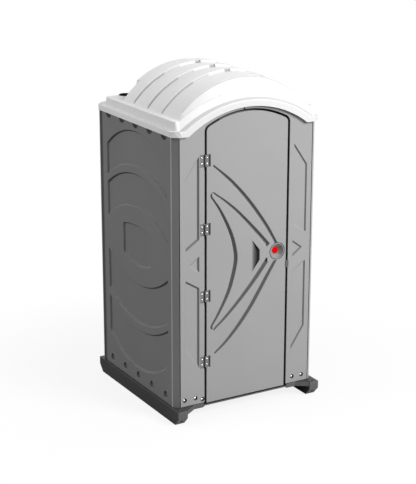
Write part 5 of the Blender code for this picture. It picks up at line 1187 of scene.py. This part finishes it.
def roof_grid(sheet):
    """Corner points of the roof's surface by column and row, before its edges are rounded."""
    rings = roof_rings(sheet)
    bands = len(rings)
    columns, shoulder = vault_columns()
    rows = vault_rows(sheet)
    last_column, last_row = len(columns) + 2 * bands - 1, len(rows) + 2 * bands - 1
    deck = DECK - sheet

    def vault_point(column, row):
        x = columns[column - bands]
        y, lift, flanks, slot = rows[row - bands]
        height = deck
        on_vault = (abs(x) <= shoulder + 1e-6 or flanks) and abs(x) < VAULT_SPAN - GAP
        if lift is not None and on_vault:
            height = bulge(x, DECK + VAULT_RISE - sheet, VAULT_SPAN, deck) + lift
        if slot and abs(x) <= SLOT_HALF + 1e-6 and not sheet:
            y += 0.012
        return x, y, height

    def rim_point(column, row, depth):
        half, front, rear, front_corner, rear_corner, flat, crown, span = rings[depth]
        corner = front_corner if row < last_row / 2 else rear_corner
        front_y, rear_y = FRONT_Y - front, REAR_Y + rear
        steps = bands - depth - 1
        if row in (depth, last_row - depth):
            at_front = row == depth
            y = front_y if at_front else rear_y
            scale = span / VAULT_SPAN if at_front else 1
            side = -1 if column < last_column / 2 else 1
            from_side = min(column, last_column - column)
            if from_side == depth:
                x = side * (half - corner / 2)
                y += corner / 2 if at_front else -corner / 2
            elif from_side < bands:
                run = VAULT_SPAN * scale - half + corner
                x = side * (half - corner + run * (from_side - depth - 1) / steps)
            else:
                x = columns[column - bands] * scale
            return x, y, bulge(x, crown, span, flat) if at_front else flat
        if row < bands:
            start = front_y + corner
            y = start + (rows[0][0] - start) * (row - depth - 1) / steps
        elif row > last_row - bands:
            start = rear_y - corner
            y = start + (rows[-1][0] - start) * (last_row - row - depth - 1) / steps
        else:
            y = rows[row - bands][0]
        return -half if column == depth else half, y, flat

    grid = np.zeros((last_column + 1, last_row + 1, 3))
    for column in range(last_column + 1):
        for row in range(last_row + 1):
            depth = min(column, row, last_column - column, last_row - row)
            on_rim = depth < bands
            grid[column, row] = rim_point(column, row, depth) if on_rim else vault_point(column, row)
    grid[:, :, 2] += BASE_Z
    return grid


def softened(grid, index, reach, steps=4):
    """Round the grid's line at an index of its first axis; returns the lines that take its place."""
    here = grid[index]

    def towards(other):
        run = other - here
        length = np.maximum(np.linalg.norm(run, axis=1, keepdims=True), 1e-9)
        return here + run * np.minimum(0.45, reach / length)

    first, last = towards(grid[index - 1]), towards(grid[index + 1])
    ts = np.linspace(0, 1, steps + 1)
    return [first * (1 - t) ** 2 + here * 2 * t * (1 - t) + last * t ** 2 for t in ts]


def soften_lines(grid, reaches):
    lines = []
    for i in range(len(grid)):
        lines += softened(grid, i, reaches[i]) if i in reaches else [grid[i]]
    return np.array(lines)


def softened_roof(sheet):
    """The roof's surface with its edges rounded."""
    grid = roof_grid(sheet)
    last_column, last_row = grid.shape[0] - 1, grid.shape[1] - 1
    columns, rows = ({**RING_REACHES, **{last - k: v for k, v in RING_REACHES.items()}}
                     for last in (last_column, last_row))
    columns.update({5: 0.006, last_column - 5: 0.006})
    rows[5] = 0.010
    for rib in range(3):
        rows.update({9 + rib * 5: 0.004, 10 + rib * 5: 0.040})
    grid = soften_lines(grid, columns)
    return soften_lines(grid.transpose(1, 0, 2), rows).transpose(1, 0, 2)


def hole_plate(deck):
    """Closes the corners of the deck's square hole round the pipe."""
    sides, lap, bore = 64, 0.0002, 0.0480
    verts = []
    for square, height in ((True, lap), (False, lap), (False, -ROOF_SHEET - lap), (True, -ROOF_SHEET - lap)):
        for i in range(sides):
            a = math.tau * i / sides
            across, along = math.cos(a), math.sin(a)
            radius = (PIPE_HOLE + 0.0005) / max(abs(across), abs(along)) if square else bore
            verts.append((PIPE_X + radius * across, PIPE_Y + radius * along, deck + height))
    faces = []
    for ring in range(4):
        here, there = ring * sides, (ring + 1) % 4 * sides
        for i in range(sides):
            j = (i + 1) % sides
            faces.append((here + i, here + j, there + j, there + i))
    return new_object("roof_hole_plate", verts, faces, 40, [ROOF_WHITE])


def roof_skin():
    """The outer and under surface, joined along the rim."""
    outer, under = (softened_roof(sheet) for sheet in (0, ROOF_SHEET))
    nc, nr = outer.shape[:2]

    def at(column, row, layer=0):
        return layer * nc * nr + column * nr + row

    faces = []
    for column in range(nc - 1):
        for row in range(nr - 1):
            x, y, _ = (outer[column, row] + outer[column + 1, row + 1]) / 2
            if max(abs(x - PIPE_X), abs(y - PIPE_Y)) < PIPE_HOLE - 0.001:
                continue
            corners = ((column, row), (column + 1, row), (column + 1, row + 1), (column, row + 1))
            faces += [tuple(at(*corner, layer) for corner in corners) for layer in (0, 1)]
    rim = [(c, 0) for c in range(nc - 1)] + [(nc - 1, r) for r in range(nr - 1)]
    rim += [(c, nr - 1) for c in range(nc - 1, 0, -1)] + [(0, r) for r in range(nr - 1, 0, -1)]
    for here, there in zip(rim, rim[1:] + rim[:1]):
        faces.append((at(*here), at(*there), at(*there, 1), at(*here, 1)))
    verts = [*outer.reshape(-1, 3), *under.reshape(-1, 3)]
    return new_object("roof_skin", verts, faces, 60, [ROOF_WHITE])


def roof():
    deck = BASE_Z + DECK
    crown = deck + VAULT_RISE
    walls = [FRONT_Y + VAULT_FRONT + VAULT_PITCH * rib for rib in range(1, 4)]
    collar = turned("roof_collar", COLLAR_PROFILE, (PIPE_X, PIPE_Y, deck), (0, 0, 1), 64, ROOF_WHITE)
    made = joined("roof_finish", [roof_skin(), hole_plate(deck), collar])
    made.data.set_sharp_from_angle(angle=math.radians(50))

    def by_wall(at, low, high):
        return any(wall + low < at.y < wall + high for wall in walls)

    def on_ledge(at, way):
        """The ledge over the fascia, the crease at the vault's foot and the ribs' feet high up."""
        return ((FRONT_Y - 0.0215 < at.y < FRONT_Y + 0.0005 and way.z > 0.45)
                or (FRONT_Y + 0.0575 < at.y < FRONT_Y + 0.0665 and abs(at.x) < 0.47)
                or (0.15 < abs(at.x) < 0.27 and by_wall(at, -0.0015, 0.005)))

    shade_faces(made, ROOF_SHADE, on_ledge)
    shade_faces(made, RIB_SHADE, lambda at, way: 0.27 <= abs(at.x) < 0.51 and by_wall(at, -0.0015, 0.005))
    shade_faces(made, SLOT_SHADE, lambda at, way: abs(at.x) < SLOT_HALF + 0.0003
                and crown - 0.002 < at.z < crown + 0.0085 and by_wall(at, 0.0005, 0.021))
    weigh_normals(made)
    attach(made, "cabin")
    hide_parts("roof_shell")


def vent_pipe():
    low, high = 0.575, BASE_Z + DECK + 0.016
    outer, inner = PIPE_RADIUS, PIPE_RADIUS - 0.004
    profile = [(inner, low), (outer, low), (outer, high - 0.0015), (outer - 0.0006, high - 0.0003),
               (outer - 0.002, high), (inner + 0.0006, high - 0.0004), (inner, high - 0.0015)]
    made = turned("vent_pipe_finish", profile, (PIPE_X, PIPE_Y, 0), (0, 0, 1), 72, PIPE_BLACK)
    weigh_normals(made)
    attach(made, "cabin")
    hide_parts("vent_pipe")


roof()
vent_pipe()

# Front crossmember


def crossmember():
    half, start, thick, low, top = 0.5067, FRONT_Y - 0.0075, 0.063, 0.078, 0.110
    door_half, under, cut_top = 0.345, 0.0880, 0.097

    def bar(u, v, d):
        return u, start + d, v

    middle = [(-door_half, under), (door_half, under), (door_half, cut_top), (-door_half, cut_top)]
    pieces = [prism("beam_middle", middle, bar, 0, thick, BASE_BLACK)]
    for side in (-1, 1):
        ends = [(side * half, low), (side * (door_half + 0.004), low), (side * (door_half - 0.008), under),
                (side * door_half, cut_top), (side * door_half, top), (side * half, top)]
        pieces.append(prism("beam_end", ends, bar, 0, thick, BASE_BLACK))
        plan = [(side * half, start - 0.057), (side * half, start + 0.004),
                (side * (half - 0.085), start + 0.004), (side * (half - 0.085), start)]
        pieces.append(prism("beam_brace", plan, lambda u, v, d: (u, v, d), low + 0.0004, top - 0.0004,
                            BASE_BLACK))
    made = joined("beam_finish", pieces)
    # Painted light on the beam's faces that look to the front.
    shade_faces(made, BASE_FRONT_LIGHT, lambda at, way: way.y < -0.4)
    bevelled(made, 0.002, 2, 30)
    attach(made, "cabin")
    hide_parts("front_crossmember")


crossmember()

# Carried-over solids: materials and rounded edges

LOOKS = {
    "base_black": (BASE_BLACK, 0.004),
    "side_grey": (SIDE_GREY, 0.003),
    "front_grey": (FRONT_GREY, 0.001),
    "roof_white": (ROOF_WHITE, 0.004),
    "signal_red": (SIGNAL_RED, 0.0008),
    "inner_grey": (INNER_GREY, 0.001),
    "paper_white": (PAPER, 0.002),
    "steel": (STEEL, 0.0006),
}
slot_of = {s["node"]: s["material_slot"] for s in frame["record"]["subparts"]}
for name, made in nodes.items():
    if made.hide_render:
        continue
    material, width = LOOKS[slot_of[name]]
    made.data.materials.clear()
    made.data.materials.append(material)
    weld = made.modifiers.new("weld", "WELD")
    weld.merge_threshold = 0.00002
    for polygon in made.data.polygons:
        polygon.use_smooth = True
    # Painted light on the skids' faces that look to the front.
    if name.startswith("skid"):
        shade_faces(made, BASE_FRONT_LIGHT, lambda at, way: way.y < -0.4 and way.z > -0.25)
        # Painted highlight on the slant under the skids' noses.
        shade_faces(made, BASE_SLANT_HIGHLIGHT, lambda at, way: way.y < -0.2 and way.z <= -0.25 and at.z > 0.001)
    bevelled(made, width, 2, 35)

# Ground, light and camera

WHITE = (1, 1, 1, 1)


def world():
    made = bpy.data.worlds.new("studio")
    bpy.context.scene.world = made
    made.use_nodes = True
    made.node_tree.nodes.clear()
    build_tree(made.node_tree, {
        "out": ("OutputWorld", {}),
        "light": ("Background", {"Color": WHITE, "Strength": 0.20}),
        "white": ("Background", {"Color": WHITE, "Strength": 1.0}),
        "mix": ("MixShader", {}),
        "path": ("LightPath", {}),
        "seen": ("Math", {"operation": "ADD"}),
        "through": ("Math", {"operation": "ADD", "use_clamp": True}),
    }, (
        ("path", "Is Camera Ray", "seen", 0), ("path", "Is Glossy Ray", "seen", 1),
        ("seen", "Value", "through", 0), ("path", "Is Transmission Ray", "through", 1),
        ("through", "Value", "mix", "Fac"), ("light", "Background", "mix", 1),
        ("white", "Background", "mix", 2), ("mix", "Shader", "out", "Surface"),
    ))


def floor():
    """White to the camera with a faint shadow; a mid grey to the light that it throws back."""
    size, level = 40.0, -0.0005
    verts = [(x * size, y * size, level) for x, y in ((-1, -1), (1, -1), (1, 1), (-1, 1))]
    made = new_object("floor", verts, [(0, 1, 2, 3)])
    material = bpy.data.materials.new("pale_floor")
    material.use_nodes = True
    material.node_tree.nodes.clear()
    fade = {"interpolation_type": "SMOOTHSTEP",
            "From Min": 1.0, "From Max": 2.6, "To Min": 0.86, "To Max": 1.0}
    build_tree(material.node_tree, {
        "out": ("OutputMaterial", {}),
        "pale": ("BsdfDiffuse", {"Color": WHITE}),
        "glow": ("Emission", {"Strength": 1.0}),
        "shown": ("MixShader", {}),
        "spot": ("TexCoord", {}),
        "reach": ("VectorMath", {"operation": "LENGTH"}),
        "fade": ("MapRange", fade),
        "matt": ("BsdfDiffuse", {"Color": (0.35, 0.35, 0.35, 1)}),
        "mix": ("MixShader", {}),
        "path": ("LightPath", {}),
    }, (
        ("spot", "Object", "reach", 0), ("reach", "Value", "fade", "Value"),
        ("fade", "Result", "shown", "Fac"), ("pale", "BSDF", "shown", 1), ("glow", "Emission", "shown", 2),
        ("path", "Is Camera Ray", "mix", "Fac"), ("matt", "BSDF", "mix", 1), ("shown", "Shader", "mix", 2),
        ("mix", "Shader", "out", "Surface"),
    ))
    made.data.materials.append(material)


def lamp(name, azimuth, elevation, distance, size, power, target=(0, 0, 1.1)):
    """A soft square lamp; azimuth 0 is in front of the door and 90 on its right."""
    data = bpy.data.lights.new(name, "AREA")
    data.shape = "SQUARE"
    data.size = size
    data.energy = power
    made = linked(name, data)
    a, e = math.radians(azimuth), math.radians(elevation)
    back = Vector((math.sin(a) * math.cos(e), -math.cos(a) * math.cos(e), math.sin(e)))
    made.location = Vector(target) + back * distance
    made.rotation_euler = back.to_track_quat("Z", "Y").to_euler()


def camera():
    data = bpy.data.cameras.new("camera")
    data.lens = 104.49
    data.sensor_width = 36
    data.shift_x = 0.0128
    data.shift_y = -0.0105
    data.clip_end = 60
    made = linked("camera", data)
    made.location = (-4.915, -8.469 + SHIFT_Y, 4.057)
    target = Vector((0, 0.0445 + SHIFT_Y, 1.113))
    made.rotation_euler = (made.location - target).to_track_quat("Z", "Y").to_euler()
    bpy.context.scene.camera = made


world()
floor()
lamp("key", 25, 31, 10.0, 4.0, 940)
lamp("fill", -110, 20, 9.0, 4.8, 313)
lamp("top", 180, 80, 6.0, 4.0, 82)
camera()
bpy.context.scene.view_settings.view_transform = "Standard"
